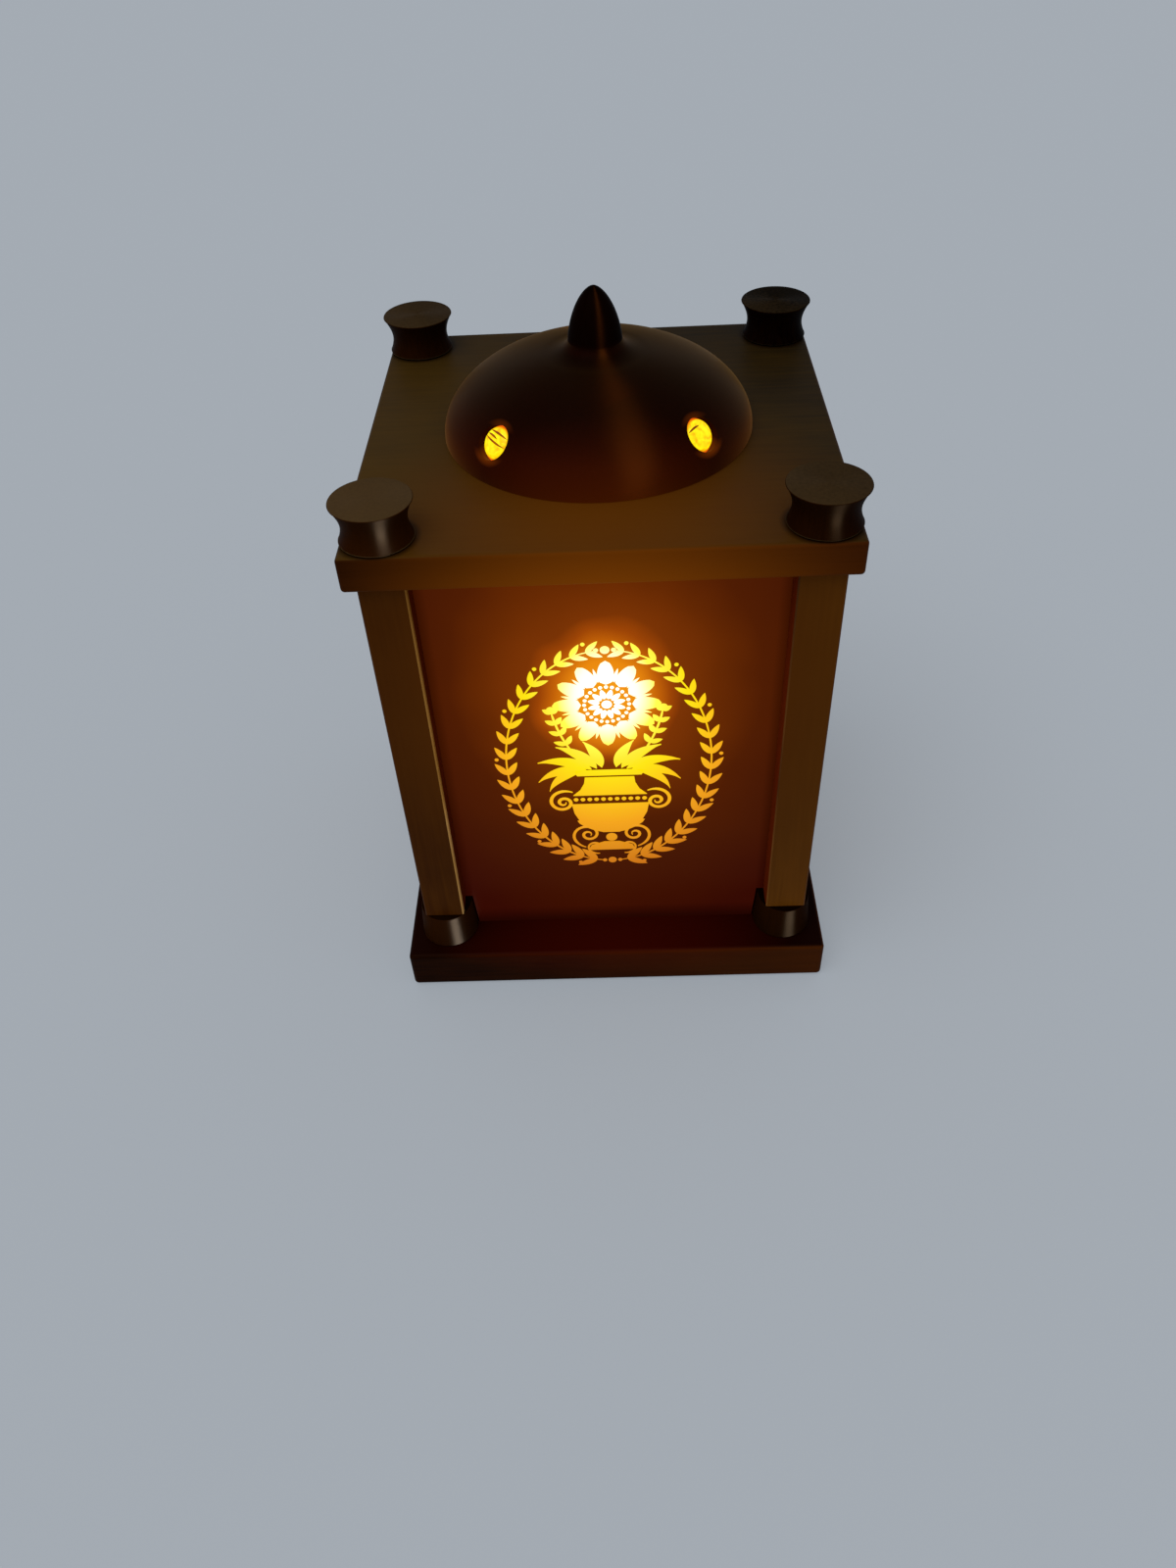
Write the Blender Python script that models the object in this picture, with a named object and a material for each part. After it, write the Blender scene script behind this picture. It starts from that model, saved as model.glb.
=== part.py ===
"""A square wooden table lantern with a lift-off bell dome and a battery LED candle inside.

Metres, +Z up. The origin is the centre of the base's underside, and the front panel faces -Y.
"""
import math

import bmesh
import bpy
from mathutils import Matrix, Vector

# Clearances
GAP = 0.0003                  # between pieces that are seated on or in each other
HOLE_GAP = 0.0003             # round a dowel, a screw or a plug in its hole

# Meshing
WELD = 1e-7                   # points nearer than this are one point
SHARP_DEG = 40                # edges sharper than this stay crisp in the shading
ROUNDED_EDGE_DEG = 50         # edges sharper than this are rounded

# Sides of the round pieces
DOME_SIDES = 48
TURNED_SIDES = 28
SMALL_SIDES = 16
TINY_SIDES = 12

# Base board
BASE_OVERHANG = 0.0045        # past the roof's edge, all round
BASE_THICKNESS = 0.019
BASE_EDGE_RADIUS = 0.0018
CANDLE_POCKET_DEPTH = 0.002

# Roof board
ROOF_WIDTH = 0.165
ROOF_THICKNESS = 0.0125
ROOF_EDGE_RADIUS = 0.0014

# Corner posts, with the collars under them and the spools above them on the same axes
POST_WIDTH = 0.0158
POST_LENGTH = 0.1635
POST_CHAMFER = 0.0012
POST_INSET = 0.0121           # from the roof's edge to a post's axis
COLLAR_HEIGHT = 0.0155
COLLAR_FOOT_RADIUS = 0.0117
COLLAR_NECK_RADIUS = 0.0105
SPOOL_HEIGHT = 0.0135
SPOOL_TOP_RADIUS = 0.01335
SPOOL_WAIST_RADIUS = 0.0107
SPOOL_FOOT_RADIUS = 0.0122
SPOOL_WAIST_SHARE = 0.42      # height of the waist, as a share of the spool's
TURNED_EDGE_RADIUS = 0.0004

# Dowels through the roof and screws through the base
DOWEL_RADIUS = 0.004
DOWEL_CHAMFER = 0.0008
DOWEL_IN_POST = 0.018
DOWEL_IN_SPOOL = 0.008
SCREW_RADIUS = 0.002
SCREW_HEAD_RADIUS = 0.004
SCREW_HEAD_HEIGHT = 0.0024
SCREW_HEAD_DEPTH = 0.001      # from the base's underside up to the head
SCREW_IN_POST = 0.015

# Side panels in their grooves
PANEL_THICKNESS = 0.002
PANEL_SHIFT = 0.0032          # from a post's axis inwards to the panel's middle plane
GROOVE_DEPTH = 0.0024

# Dome cap with its finial, seat ring and vents
DOME_RADIUS = 0.0546
DOME_HEIGHT = 0.0282
DOME_WALL = 0.005
FINIAL_RADIUS = 0.0094
FINIAL_START = 0.029          # both from the roof's top face
FINIAL_TIP = 0.0486
FINIAL_FILLET_REACH = 0.0088  # how far out on the dome the finial's hollow foot starts
FINIAL_FILLET_RISE = 0.003
FINIAL_FILLET_BEND = 0.1      # how steeply the hollow foot leaves the dome
FINIAL_BELLY = 1.8            # higher keeps the finial full further up
FINIAL_POINT = 0.6            # lower makes its tip blunter
DOME_OVERLAP = 0.0116         # how far the dome's edge reaches past the roof's opening
RING_WALL = 0.004
RING_DEPTH = 0.006            # how far the ring hangs into the roof's opening
RING_FLANGE_THICKNESS = 0.003
RING_FIT = 0.0005             # round the ring in the roof's opening
VENT_RADIUS = 0.006
VENT_FLARE = 0.0017
VENT_SEAT_RADIUS = 0.0075
VENT_INSET = 0.0056           # from the dome's edge in to the vent's middle, on the outer face
VENT_RISE_DEG = 35.0
FIRST_VENT_DEG = 225.0        # seen from above, anticlockwise from +X
VENT_LIP = 0.0033             # wall left in front of the film
FILM_THICKNESS = 0.0008

# LED candle
CANDLE_RADIUS = 0.025
CANDLE_WALL = 0.0016
CANDLE_RIM_RADIUS = 0.003
CANDLE_DISH_DEPTH = 0.004
CANDLE_LIP_WIDTH = 0.0048     # from the outside to where the dish starts to fall
CANDLE_DISH_START = 0.009     # from the outside to where its floor begins
CANDLE_EASE = 0.00075         # how far both ends of that fall are eased
POCKET_CLEARANCE = 0.0004
BOTTOM_RECESS = 0.002         # from the rim that it stands on up to the bottom disc
BOTTOM_THICKNESS = 0.002
FLAME_RADIUS = 0.0062
FLAME_LENGTH = 0.0225         # over the candle's dished top
FLAME_NECK_RADIUS = 0.0042
FLAME_WIDEST_SHARE = 0.3
FLAME_TAPER = 1.6             # higher keeps the flame full further up
FLAME_FLANGE_REACH = 0.0018
FLAME_FLANGE_THICKNESS = 0.001
FLAME_LED_ROOM = 0.0005
LED_RADIUS = 0.0025
LED_LENGTH = 0.0086
LED_RIM_RADIUS = 0.0029
LED_RIM_HEIGHT = 0.001
LED_LEG_WIDTH = 0.0006
LED_LEG_PITCH = 0.00254
BOARD_RADIUS = 0.0175
BOARD_THICKNESS = 0.0012
BOARD_ROOM = 0.0033           # over the board, up to the flame's flange

# Batteries, their box and its cover
BATTERY_RADIUS = 0.00525
BATTERY_LENGTH = 0.0437
BATTERY_NUB_RADIUS = 0.0019
BATTERY_NUB_HEIGHT = 0.0008
BATTERY_COUNT = 3
BATTERY_SPACING = 0.0113
BATTERY_PLAY = 0.0006
BOX_WALL = 0.0012
CONTACT_THICKNESS = 0.0004
CONTACT_RADIUS = 0.0035
SPRING_PAD_HEIGHT = 0.0014
SPRING_FOOT_RADIUS = 0.0028
SPRING_TIP_RADIUS = 0.0014
COVER_THICKNESS = 0.0012
COVER_EAR = 0.006             # the tab beside the batteries that the cover's screw goes through
COVER_EAR_WIDTH = 0.008
SMALL_SCREW_RADIUS = 0.001
SMALL_HEAD_RADIUS = 0.0018
SMALL_HEAD_HEIGHT = 0.0008
SMALL_SCREW_LENGTH = 0.005

# Slide switch in the candle's bottom
SWITCH_TRAVEL = 0.003
SWITCH_PLACE = 0.0135         # from the candle's axis, towards the front
KNOB_LENGTH = 0.003
KNOB_WIDTH = 0.0026
KNOB_REACH = 0.0012           # below the bottom disc
KNOB_SHOULDER = 0.0006        # how far the knob's foot stands over the slot's ends
SWITCH_LENGTH = 0.0095
SWITCH_WIDTH = 0.0052
SWITCH_HEIGHT = 0.004
SWITCH_WALL = 0.0008

# Sizes and places that follow from the ones above
BASE_WIDTH = ROOF_WIDTH + 2 * BASE_OVERHANG
ROOF_OPENING_RADIUS = DOME_RADIUS - DOME_OVERLAP
RING_OUTER_RADIUS = ROOF_OPENING_RADIUS - RING_FIT
RING_INNER_RADIUS = RING_OUTER_RADIUS - RING_WALL
VENT_PLACE_RADIUS = DOME_RADIUS - VENT_INSET
COLLAR_Z = BASE_THICKNESS + GAP
POST_Z = COLLAR_Z + COLLAR_HEIGHT + GAP
POST_TOP = POST_Z + POST_LENGTH
ROOF_Z = POST_TOP + GAP
ROOF_TOP = ROOF_Z + ROOF_THICKNESS
SPOOL_Z = ROOF_TOP + GAP
CORNER = ROOF_WIDTH / 2 - POST_INSET
PANEL_PLANE = CORNER - PANEL_SHIFT
DOME_Z = ROOF_TOP + GAP
POCKET_RADIUS = CANDLE_RADIUS + POCKET_CLEARANCE
POCKET_Z = BASE_THICKNESS - CANDLE_POCKET_DEPTH
CANDLE_Z = POCKET_Z + GAP
BOTTOM_Z = CANDLE_Z + BOTTOM_RECESS
BOTTOM_TOP = BOTTOM_Z + BOTTOM_THICKNESS
BOX_LENGTH_X = BATTERY_SPACING * (BATTERY_COUNT - 1) + 2 * (BATTERY_RADIUS + BATTERY_PLAY)
BOX_LENGTH_Y = 2 * (BATTERY_RADIUS + BATTERY_PLAY)
BOX_Z = BOTTOM_TOP + GAP
BATTERY_Z = BOTTOM_Z + COVER_THICKNESS + CONTACT_THICKNESS + SPRING_PAD_HEIGHT + 2 * GAP
BATTERY_TOP = BATTERY_Z + BATTERY_LENGTH + BATTERY_NUB_HEIGHT
BOX_TOP = BATTERY_TOP + GAP + CONTACT_THICKNESS + GAP + BOX_WALL
BOARD_Z = BOX_TOP + GAP
LED_Z = BOARD_Z + BOARD_THICKNESS + GAP
FLANGE_Z = BOARD_Z + BOARD_THICKNESS + BOARD_ROOM
DISH_Z = FLANGE_Z + FLAME_FLANGE_THICKNESS + GAP + CANDLE_WALL
CANDLE_HEIGHT = DISH_Z + CANDLE_DISH_DEPTH - CANDLE_Z
COVER_SCREW_Y = BOX_LENGTH_Y / 2 + (BOX_WALL + COVER_EAR) / 2
CORNERS = ((-1, -1), (1, -1), (1, 1), (-1, 1))
SIDES = (("front", 0), ("right", 90), ("back", 180), ("left", 270))


def remove_everything():
    """Empties the scene."""
    for item in list(bpy.data.objects):
        bpy.data.objects.remove(item, do_unlink=True)


def material(name, colour, roughness, metallic=0.0):
    """Makes a plain finish from a linear colour."""
    finish = bpy.data.materials.new(name)
    finish.use_nodes = True
    shader = finish.node_tree.nodes["Principled BSDF"]
    shader.inputs["Base Color"].default_value = (*colour, 1.0)
    shader.inputs["Roughness"].default_value = roughness
    shader.inputs["Metallic"].default_value = metallic
    return finish


def close_mesh(work, name, smooth_angle=None):
    """Turns bmesh geometry into a mesh whose faces point outwards."""
    bmesh.ops.remove_doubles(work, verts=work.verts, dist=WELD)
    bmesh.ops.recalc_face_normals(work, faces=work.faces)
    mesh = bpy.data.meshes.new(name)
    work.to_mesh(mesh)
    work.free()
    if smooth_angle is not None:
        mesh.shade_smooth()
        mesh.set_sharp_from_angle(angle=math.radians(smooth_angle))
    return mesh


def add_lathe(work, profile, segments, place=Matrix()):
    """Spins a profile of (radius, height) points about the Z axis. It is closed, or ends on the axis."""
    points = [work.verts.new((radius, 0.0, height)) for radius, height in profile]
    on_axis = profile[0][0] == 0.0 and profile[-1][0] == 0.0
    edges = [work.edges.new(pair) for pair in zip(points, points[1:])]
    if not on_axis:
        edges.append(work.edges.new((points[-1], points[0])))
    before = set(work.verts) - set(points)
    bmesh.ops.spin(work, geom=points + edges, cent=(0, 0, 0), axis=(0, 0, 1), angle=math.tau,
                   steps=segments, use_merge=True)
    turned = [point for point in work.verts if point not in before]
    bmesh.ops.remove_doubles(work, verts=turned, dist=WELD)
    turned = [point for point in work.verts if point not in before]
    bmesh.ops.transform(work, matrix=place, verts=turned)


def lathe(name, profile, segments):
    """Makes a turned mesh."""
    work = bmesh.new()
    add_lathe(work, profile, segments)
    return close_mesh(work, name, SHARP_DEG)


def add_box(work, low, high):
    """Adds a block between two corners."""
    size = Vector(high) - Vector(low)
    middle = (Vector(high) + Vector(low)) / 2
    place = Matrix.Translation(middle) @ Matrix.Diagonal((*size, 1.0))
    bmesh.ops.create_cube(work, size=1.0, matrix=place)


def block(name, low, high):
    """Makes a block mesh."""
    work = bmesh.new()
    add_box(work, low, high)
    return close_mesh(work, name)


def prism(name, outline, low, high):
    """Extrudes an outline of (x, y) points from one height to another."""
    work = bmesh.new()
    face = work.faces.new([work.verts.new((x, y, low)) for x, y in outline])
    grown = bmesh.ops.extrude_face_region(work, geom=[face])["geom"]
    top = [item for item in grown if isinstance(item, bmesh.types.BMVert)]
    bmesh.ops.translate(work, verts=top, vec=(0, 0, high - low))
    return close_mesh(work, name)


def add_rod(work, radius, low, high, segments, place=Matrix()):
    """Adds a plain round rod."""
    add_lathe(work, [(0.0, low), (radius, low), (radius, high), (0.0, high)], segments, place)


def put(name, mesh, finish, place=(0, 0, 0), turn=0.0, parent=None):
    """Places a mesh as a named object."""
    item = bpy.data.objects.new(name, mesh)
    bpy.context.collection.objects.link(item)
    if not mesh.materials:
        mesh.materials.append(finish)
    item.location = place
    item.rotation_euler = (0, 0, math.radians(turn))
    if parent is not None:
        item.parent = parent
        item.location = Vector(place) - parent.location
    return item


def cutter(name, mesh, place=(0, 0, 0), turn=0.0):
    """Places a mesh that only cuts others."""
    item = bpy.data.objects.new(name, mesh)
    bpy.context.collection.objects.link(item)
    item.location = place
    item.rotation_euler = (0, 0, math.radians(turn))
    item.hide_render = True
    item.display_type = "WIRE"
    return item


def cut(item, tool):
    """Takes a cutter away from an object."""
    step = item.modifiers.new(tool.name, "BOOLEAN")
    step.operation = "DIFFERENCE"
    step.solver = "EXACT"
    step.object = tool


def round_edges(item, radius, segments=2):
    """Rounds an object's edges."""
    step = item.modifiers.new("rounded edges", "BEVEL")
    step.width = radius
    step.segments = segments
    step.limit_method = "ANGLE"
    step.angle_limit = math.radians(ROUNDED_EDGE_DEG)
    item.data.shade_smooth()
    item.data.set_sharp_from_angle(angle=math.radians(SHARP_DEG))


def pivot(name, place):
    """Adds the empty that a lifted assembly hangs on."""
    item = bpy.data.objects.new(name, None)
    bpy.context.collection.objects.link(item)
    item.location = place
    return item


def corner_places(height):
    """Gives the four posts' axes at a height."""
    return [(CORNER * x, CORNER * y, height) for x, y in CORNERS]


def corner_rods(name, profile, height):
    """Makes four turned bodies on the posts' axes as one mesh."""
    work = bmesh.new()
    for place in corner_places(height):
        add_lathe(work, profile, SMALL_SIDES, Matrix.Translation(place))
    return close_mesh(work, name, SHARP_DEG)


def rod_profile(radius, length):
    """Outline of a plain round rod from height 0."""
    return [(0.0, 0.0), (radius, 0.0), (radius, length), (0.0, length)]


def screw_profile(radius, head_radius, head_height, length):
    """Outline of a countersunk screw standing on its head."""
    return [(0.0, 0.0), (head_radius, 0.0), (radius, head_height), (radius, length - radius), (0.0, length)]


def groove_ring(low, high):
    """Makes the four grooves that the panels' edges stand in, as one cutter mesh."""
    half = PANEL_THICKNESS / 2 + GAP
    outer = PANEL_PLANE + half
    inner = PANEL_PLANE - half
    work = bmesh.new()
    for reach in (outer, inner):
        ring = [work.verts.new((reach * x, reach * y, low)) for x, y in CORNERS]
        for pair in zip(ring, ring[1:] + ring[:1]):
            work.edges.new(pair)
    floor = bmesh.ops.bridge_loops(work, edges=list(work.edges))["faces"]
    grown = bmesh.ops.extrude_face_region(work, geom=floor)["geom"]
    top = [item for item in grown if isinstance(item, bmesh.types.BMVert)]
    bmesh.ops.translate(work, verts=top, vec=(0, 0, high - low))
    return close_mesh(work, "panel groove")


def make_base(finish):
    """The bottom board, with the panels' grooves, the candle's pocket and four screw holes."""
    half = BASE_WIDTH / 2
    base = put("base_plate", block("base_plate", (-half, -half, 0), (half, half, BASE_THICKNESS)), finish)
    round_edges(base, BASE_EDGE_RADIUS)
    low = BASE_THICKNESS - GROOVE_DEPTH
    cut(base, cutter("base_groove_cutter", groove_ring(low, BASE_THICKNESS + GROOVE_DEPTH)))
    pocket = lathe("pocket", rod_profile(POCKET_RADIUS, 2 * CANDLE_POCKET_DEPTH), DOME_SIDES)
    cut(base, cutter("pocket_cutter", pocket, (0, 0, POCKET_Z)))
    radius = SCREW_RADIUS + HOLE_GAP
    head = SCREW_HEAD_RADIUS + HOLE_GAP
    cone_start = SCREW_HEAD_DEPTH - HOLE_GAP
    cone_end = SCREW_HEAD_DEPTH + SCREW_HEAD_HEIGHT
    hole = [(0.0, -BASE_THICKNESS), (head, -BASE_THICKNESS), (head, cone_start), (radius, cone_end),
            (radius, 2 * BASE_THICKNESS), (0.0, 2 * BASE_THICKNESS)]
    cut(base, cutter("base_screw_hole_cutter", corner_rods("base screw holes", hole, 0)))


def make_collars(finish):
    """The four round collars that the posts stand on."""
    edge = TURNED_EDGE_RADIUS
    bore = SCREW_RADIUS + HOLE_GAP
    profile = [(bore, 0.0), (COLLAR_FOOT_RADIUS - edge, 0.0), (COLLAR_FOOT_RADIUS, edge)]
    profile += [(COLLAR_NECK_RADIUS, COLLAR_HEIGHT - edge), (COLLAR_NECK_RADIUS - edge, COLLAR_HEIGHT)]
    profile += [(bore, COLLAR_HEIGHT)]
    mesh = lathe("collar", profile, TURNED_SIDES)
    for number, place in enumerate(corner_places(COLLAR_Z), 1):
        put(f"collar_{number}", mesh, finish, place)


def post_outline():
    """Cross-section of the post at the front left, with a groove in each of its two inner faces."""
    half = POST_WIDTH / 2
    bevel = POST_CHAMFER
    near = PANEL_SHIFT - PANEL_THICKNESS / 2 - GAP
    far = PANEL_SHIFT + PANEL_THICKNESS / 2 + GAP
    floor = half - GROOVE_DEPTH
    points = [(-half + bevel, -half), (half - bevel, -half), (half, -half + bevel)]
    points += [(half, near), (floor, near), (floor, far), (half, far), (half, half - bevel)]
    points += [(half - bevel, half), (far, half), (far, floor), (near, floor), (near, half)]
    points += [(-half + bevel, half), (-half, half - bevel), (-half, -half + bevel)]
    return points


def make_posts(finish):
    """The four grooved corner posts, each bored for its dowel and its screw."""
    mesh = prism("post", post_outline(), 0, POST_LENGTH)
    depth = DOWEL_IN_POST + HOLE_GAP
    bore = corner_rods("dowel holes", rod_profile(DOWEL_RADIUS + HOLE_GAP, 2 * depth), POST_TOP - depth)
    dowel_hole = cutter("dowel_hole_cutter", bore)
    reach = SCREW_IN_POST + HOLE_GAP
    bore = corner_rods("screw holes", rod_profile(SCREW_RADIUS + HOLE_GAP, 2 * reach), POST_Z - reach)
    screw_hole = cutter("screw_hole_cutter", bore)
    for number, place in enumerate(corner_places(POST_Z), 1):
        post = put(f"post_{number}", mesh, finish, place, 90 * (number - 1))
        cut(post, dowel_hole)
        cut(post, screw_hole)


def make_roof(finish):
    """The top board, with its round opening, the panels' grooves and four dowel holes."""
    half = ROOF_WIDTH / 2
    roof = put("roof_plate", block("roof_plate", (-half, -half, ROOF_Z), (half, half, ROOF_TOP)), finish)
    round_edges(roof, ROOF_EDGE_RADIUS)
    cut(roof, cutter("roof_groove_cutter", groove_ring(ROOF_Z - GROOVE_DEPTH, ROOF_Z + GROOVE_DEPTH)))
    opening = lathe("opening", rod_profile(ROOF_OPENING_RADIUS, 3 * ROOF_THICKNESS), DOME_SIDES)
    cut(roof, cutter("opening_cutter", opening, (0, 0, ROOF_Z - ROOF_THICKNESS)))
    holes = rod_profile(DOWEL_RADIUS + HOLE_GAP, 3 * ROOF_THICKNESS)
    cut(roof, cutter("roof_hole_cutter", corner_rods("roof dowel holes", holes, ROOF_Z - ROOF_THICKNESS)))


def spool_radius(share):
    """Radius of a spool at a share of its height: two half waves that meet at the waist."""
    if share < SPOOL_WAIST_SHARE:
        end, run = SPOOL_FOOT_RADIUS, 1 - share / SPOOL_WAIST_SHARE
    else:
        end, run = SPOOL_TOP_RADIUS, (share - SPOOL_WAIST_SHARE) / (1 - SPOOL_WAIST_SHARE)
    return SPOOL_WAIST_RADIUS + (end - SPOOL_WAIST_RADIUS) * (1 - math.cos(run * math.pi / 2))


def make_spools(finish):
    """The four turned spools on top of the roof, each with a blind hole for its dowel."""
    steps = 7
    edge = TURNED_EDGE_RADIUS
    bore = DOWEL_RADIUS + HOLE_GAP
    depth = DOWEL_IN_SPOOL + HOLE_GAP
    profile = [(0.0, depth), (bore, depth), (bore, 0.0), (SPOOL_FOOT_RADIUS - edge, 0.0)]
    for step in range(steps):
        height = edge + (SPOOL_HEIGHT - 2 * edge) * step / (steps - 1)
        profile.append((spool_radius(height / SPOOL_HEIGHT), height))
    profile += [(SPOOL_TOP_RADIUS - edge, SPOOL_HEIGHT), (0.0, SPOOL_HEIGHT)]
    mesh = lathe("spool", profile, TURNED_SIDES)
    for number, place in enumerate(corner_places(SPOOL_Z), 1):
        put(f"spool_{number}", mesh, finish, place)


def make_joinery(wood, steel):
    """The dowels that hold spool, roof and post together, and the screws up through base and collar."""
    low = POST_TOP - DOWEL_IN_POST
    length = SPOOL_Z + DOWEL_IN_SPOOL - low
    bevel = DOWEL_CHAMFER
    profile = [(0.0, 0.0), (DOWEL_RADIUS - bevel, 0.0), (DOWEL_RADIUS, bevel)]
    profile += [(DOWEL_RADIUS, length - bevel), (DOWEL_RADIUS - bevel, length), (0.0, length)]
    dowel = lathe("dowel", profile, TINY_SIDES)
    length = POST_Z + SCREW_IN_POST - SCREW_HEAD_DEPTH
    outline = screw_profile(SCREW_RADIUS, SCREW_HEAD_RADIUS, SCREW_HEAD_HEIGHT, length)
    screw = lathe("screw", outline, TINY_SIDES)
    for number, (x, y, _) in enumerate(corner_places(0), 1):
        put(f"dowel_{number}", dowel, wood, (x, y, low))
        put(f"base_screw_{number}", screw, steel, (x, y, SCREW_HEAD_DEPTH))


def panel_half_width(collar_radius):
    """Half the panel's width where it passes between two collars of a radius."""
    nearest = max(PANEL_SHIFT - PANEL_THICKNESS / 2, 0.0)
    reach = math.sqrt(max(collar_radius ** 2 - nearest ** 2, 0.0))
    return CORNER - reach - 2 * GAP


def make_panels(finish):
    """The four translucent sheets, notched at the bottom corners to follow the collars' taper."""
    wide = CORNER - POST_WIDTH / 2 + GROOVE_DEPTH - GAP
    foot = min(panel_half_width(COLLAR_FOOT_RADIUS), wide)
    neck = min(panel_half_width(COLLAR_NECK_RADIUS), wide)
    low = BASE_THICKNESS - GROOVE_DEPTH + GAP
    high = ROOF_Z + GROOVE_DEPTH - GAP
    notch = POST_Z + GAP
    right = [(foot, low), (foot, BASE_THICKNESS), (neck, notch), (wide, notch), (wide, high)]
    outline = right + [(-x, z) for x, z in reversed(right)]
    mesh = prism("panel", outline, -PANEL_THICKNESS / 2, PANEL_THICKNESS / 2)
    mesh.transform(Matrix.Rotation(math.radians(90), 4, "X"))
    for side, turn in SIDES:
        angle = math.radians(turn)
        place = (PANEL_PLANE * math.sin(angle), -PANEL_PLANE * math.cos(angle), 0)
        put(f"{side}_panel", mesh, finish, place, turn)


def ellipse_height(radius, across, up):
    """Height of a point on an elliptic dome at a radius from its axis."""
    return up * math.sqrt(max(1 - (radius / across) ** 2, 0.0))


def finial_radius(height):
    """Radius of the bullet-shaped finial at a height over the roof."""
    share = (height - FINIAL_START) / (FINIAL_TIP - FINIAL_START)
    return FINIAL_RADIUS * (1 - share ** FINIAL_BELLY) ** FINIAL_POINT


def outer_dome_profile():
    """The dome's outer line from its rim up to the finial's tip."""
    foot = FINIAL_RADIUS + FINIAL_FILLET_REACH
    last = math.acos(foot / DOME_RADIUS)
    steps = 10
    line = []
    for step in range(steps + 1):
        angle = last * step / steps
        line.append((DOME_RADIUS * math.cos(angle), DOME_HEIGHT * math.sin(angle)))
    start = Vector(line[-1])
    top = FINIAL_START + FINIAL_FILLET_RISE
    end = Vector((finial_radius(top), top))
    bend = Vector((end.x, start.y + (start.x - end.x) * FINIAL_FILLET_BEND))
    steps = 4
    for step in range(1, steps + 1):
        t = step / steps
        point = start * (1 - t) ** 2 + bend * 2 * t * (1 - t) + end * t ** 2
        line.append((point.x, point.y))
    steps = 6
    for step in range(1, steps):
        height = top + (FINIAL_TIP - top) * math.sin(step / steps * math.pi / 2)
        line.append((finial_radius(height), height))
    line.append((0.0, FINIAL_TIP))
    return line


def vent_frames():
    """Each vent's own frame: its origin on the dome's outer face, its Z axis along the bore and outwards."""
    height = ellipse_height(VENT_PLACE_RADIUS, DOME_RADIUS, DOME_HEIGHT)
    tilt = Matrix.Rotation(math.radians(90 - VENT_RISE_DEG), 4, "Y")
    frames = []
    for quarter in range(4):
        spin = Matrix.Rotation(math.radians(FIRST_VENT_DEG + 90 * quarter), 4, "Z")
        frames.append(spin @ Matrix.Translation((VENT_PLACE_RADIUS, 0, height)) @ tilt)
    return frames


def make_dome(wood, film, parent):
    """The lift-off cap: a hollow bell with four vents, its seat ring and the films behind the vents."""
    inner_across = DOME_RADIUS - DOME_WALL
    inner_up = DOME_HEIGHT - DOME_WALL
    rebate = RING_FLANGE_THICKNESS + GAP
    seat_radius = ellipse_height(rebate, inner_up, inner_across)
    steps = 7
    profile = [(0.0, inner_up)]
    for step in range(1, steps + 1):
        angle = math.acos(rebate / inner_up) * step / steps
        profile.append((inner_across * math.sin(angle), inner_up * math.cos(angle)))
    profile += [(seat_radius, 0.0)] + outer_dome_profile()
    dome = put("dome_cap", lathe("dome_cap", profile, DOME_SIDES), wood, (0, 0, DOME_Z), parent=parent)

    bores = bmesh.new()
    seat = VENT_SEAT_RADIUS
    mouth = VENT_RADIUS + VENT_FLARE
    bore = [(0.0, -2 * DOME_WALL), (seat, -2 * DOME_WALL), (seat, -VENT_LIP), (VENT_RADIUS, -VENT_LIP)]
    bore += [(VENT_RADIUS, -VENT_FLARE / 2), (mouth, VENT_FLARE)]
    bore += [(mouth, 2 * DOME_WALL), (0.0, 2 * DOME_WALL)]
    for frame in vent_frames():
        add_lathe(bores, bore, SMALL_SIDES, frame)
    cut(dome, cutter("vent_cutter", close_mesh(bores, "vents", SHARP_DEG), (0, 0, DOME_Z)))

    sheet = bmesh.new()
    add_rod(sheet, VENT_SEAT_RADIUS - GAP, -VENT_LIP - GAP - FILM_THICKNESS, -VENT_LIP - GAP, SMALL_SIDES)
    disc = close_mesh(sheet, "vent_film", SHARP_DEG)
    for number, frame in enumerate(vent_frames(), 1):
        item = put(f"vent_film_{number}", disc, film, parent=parent)
        item.matrix_local = Matrix.Translation(Vector((0, 0, DOME_Z)) - parent.location) @ frame

    flange = seat_radius - GAP
    outer = RING_OUTER_RADIUS
    ring = [(RING_INNER_RADIUS, -RING_DEPTH), (outer, -RING_DEPTH), (outer, 0.0), (flange, 0.0)]
    ring += [(flange, RING_FLANGE_THICKNESS), (RING_INNER_RADIUS, RING_FLANGE_THICKNESS)]
    put("dome_ring", lathe("dome_ring", ring, DOME_SIDES), wood, (0, 0, DOME_Z), parent=parent)


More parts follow.
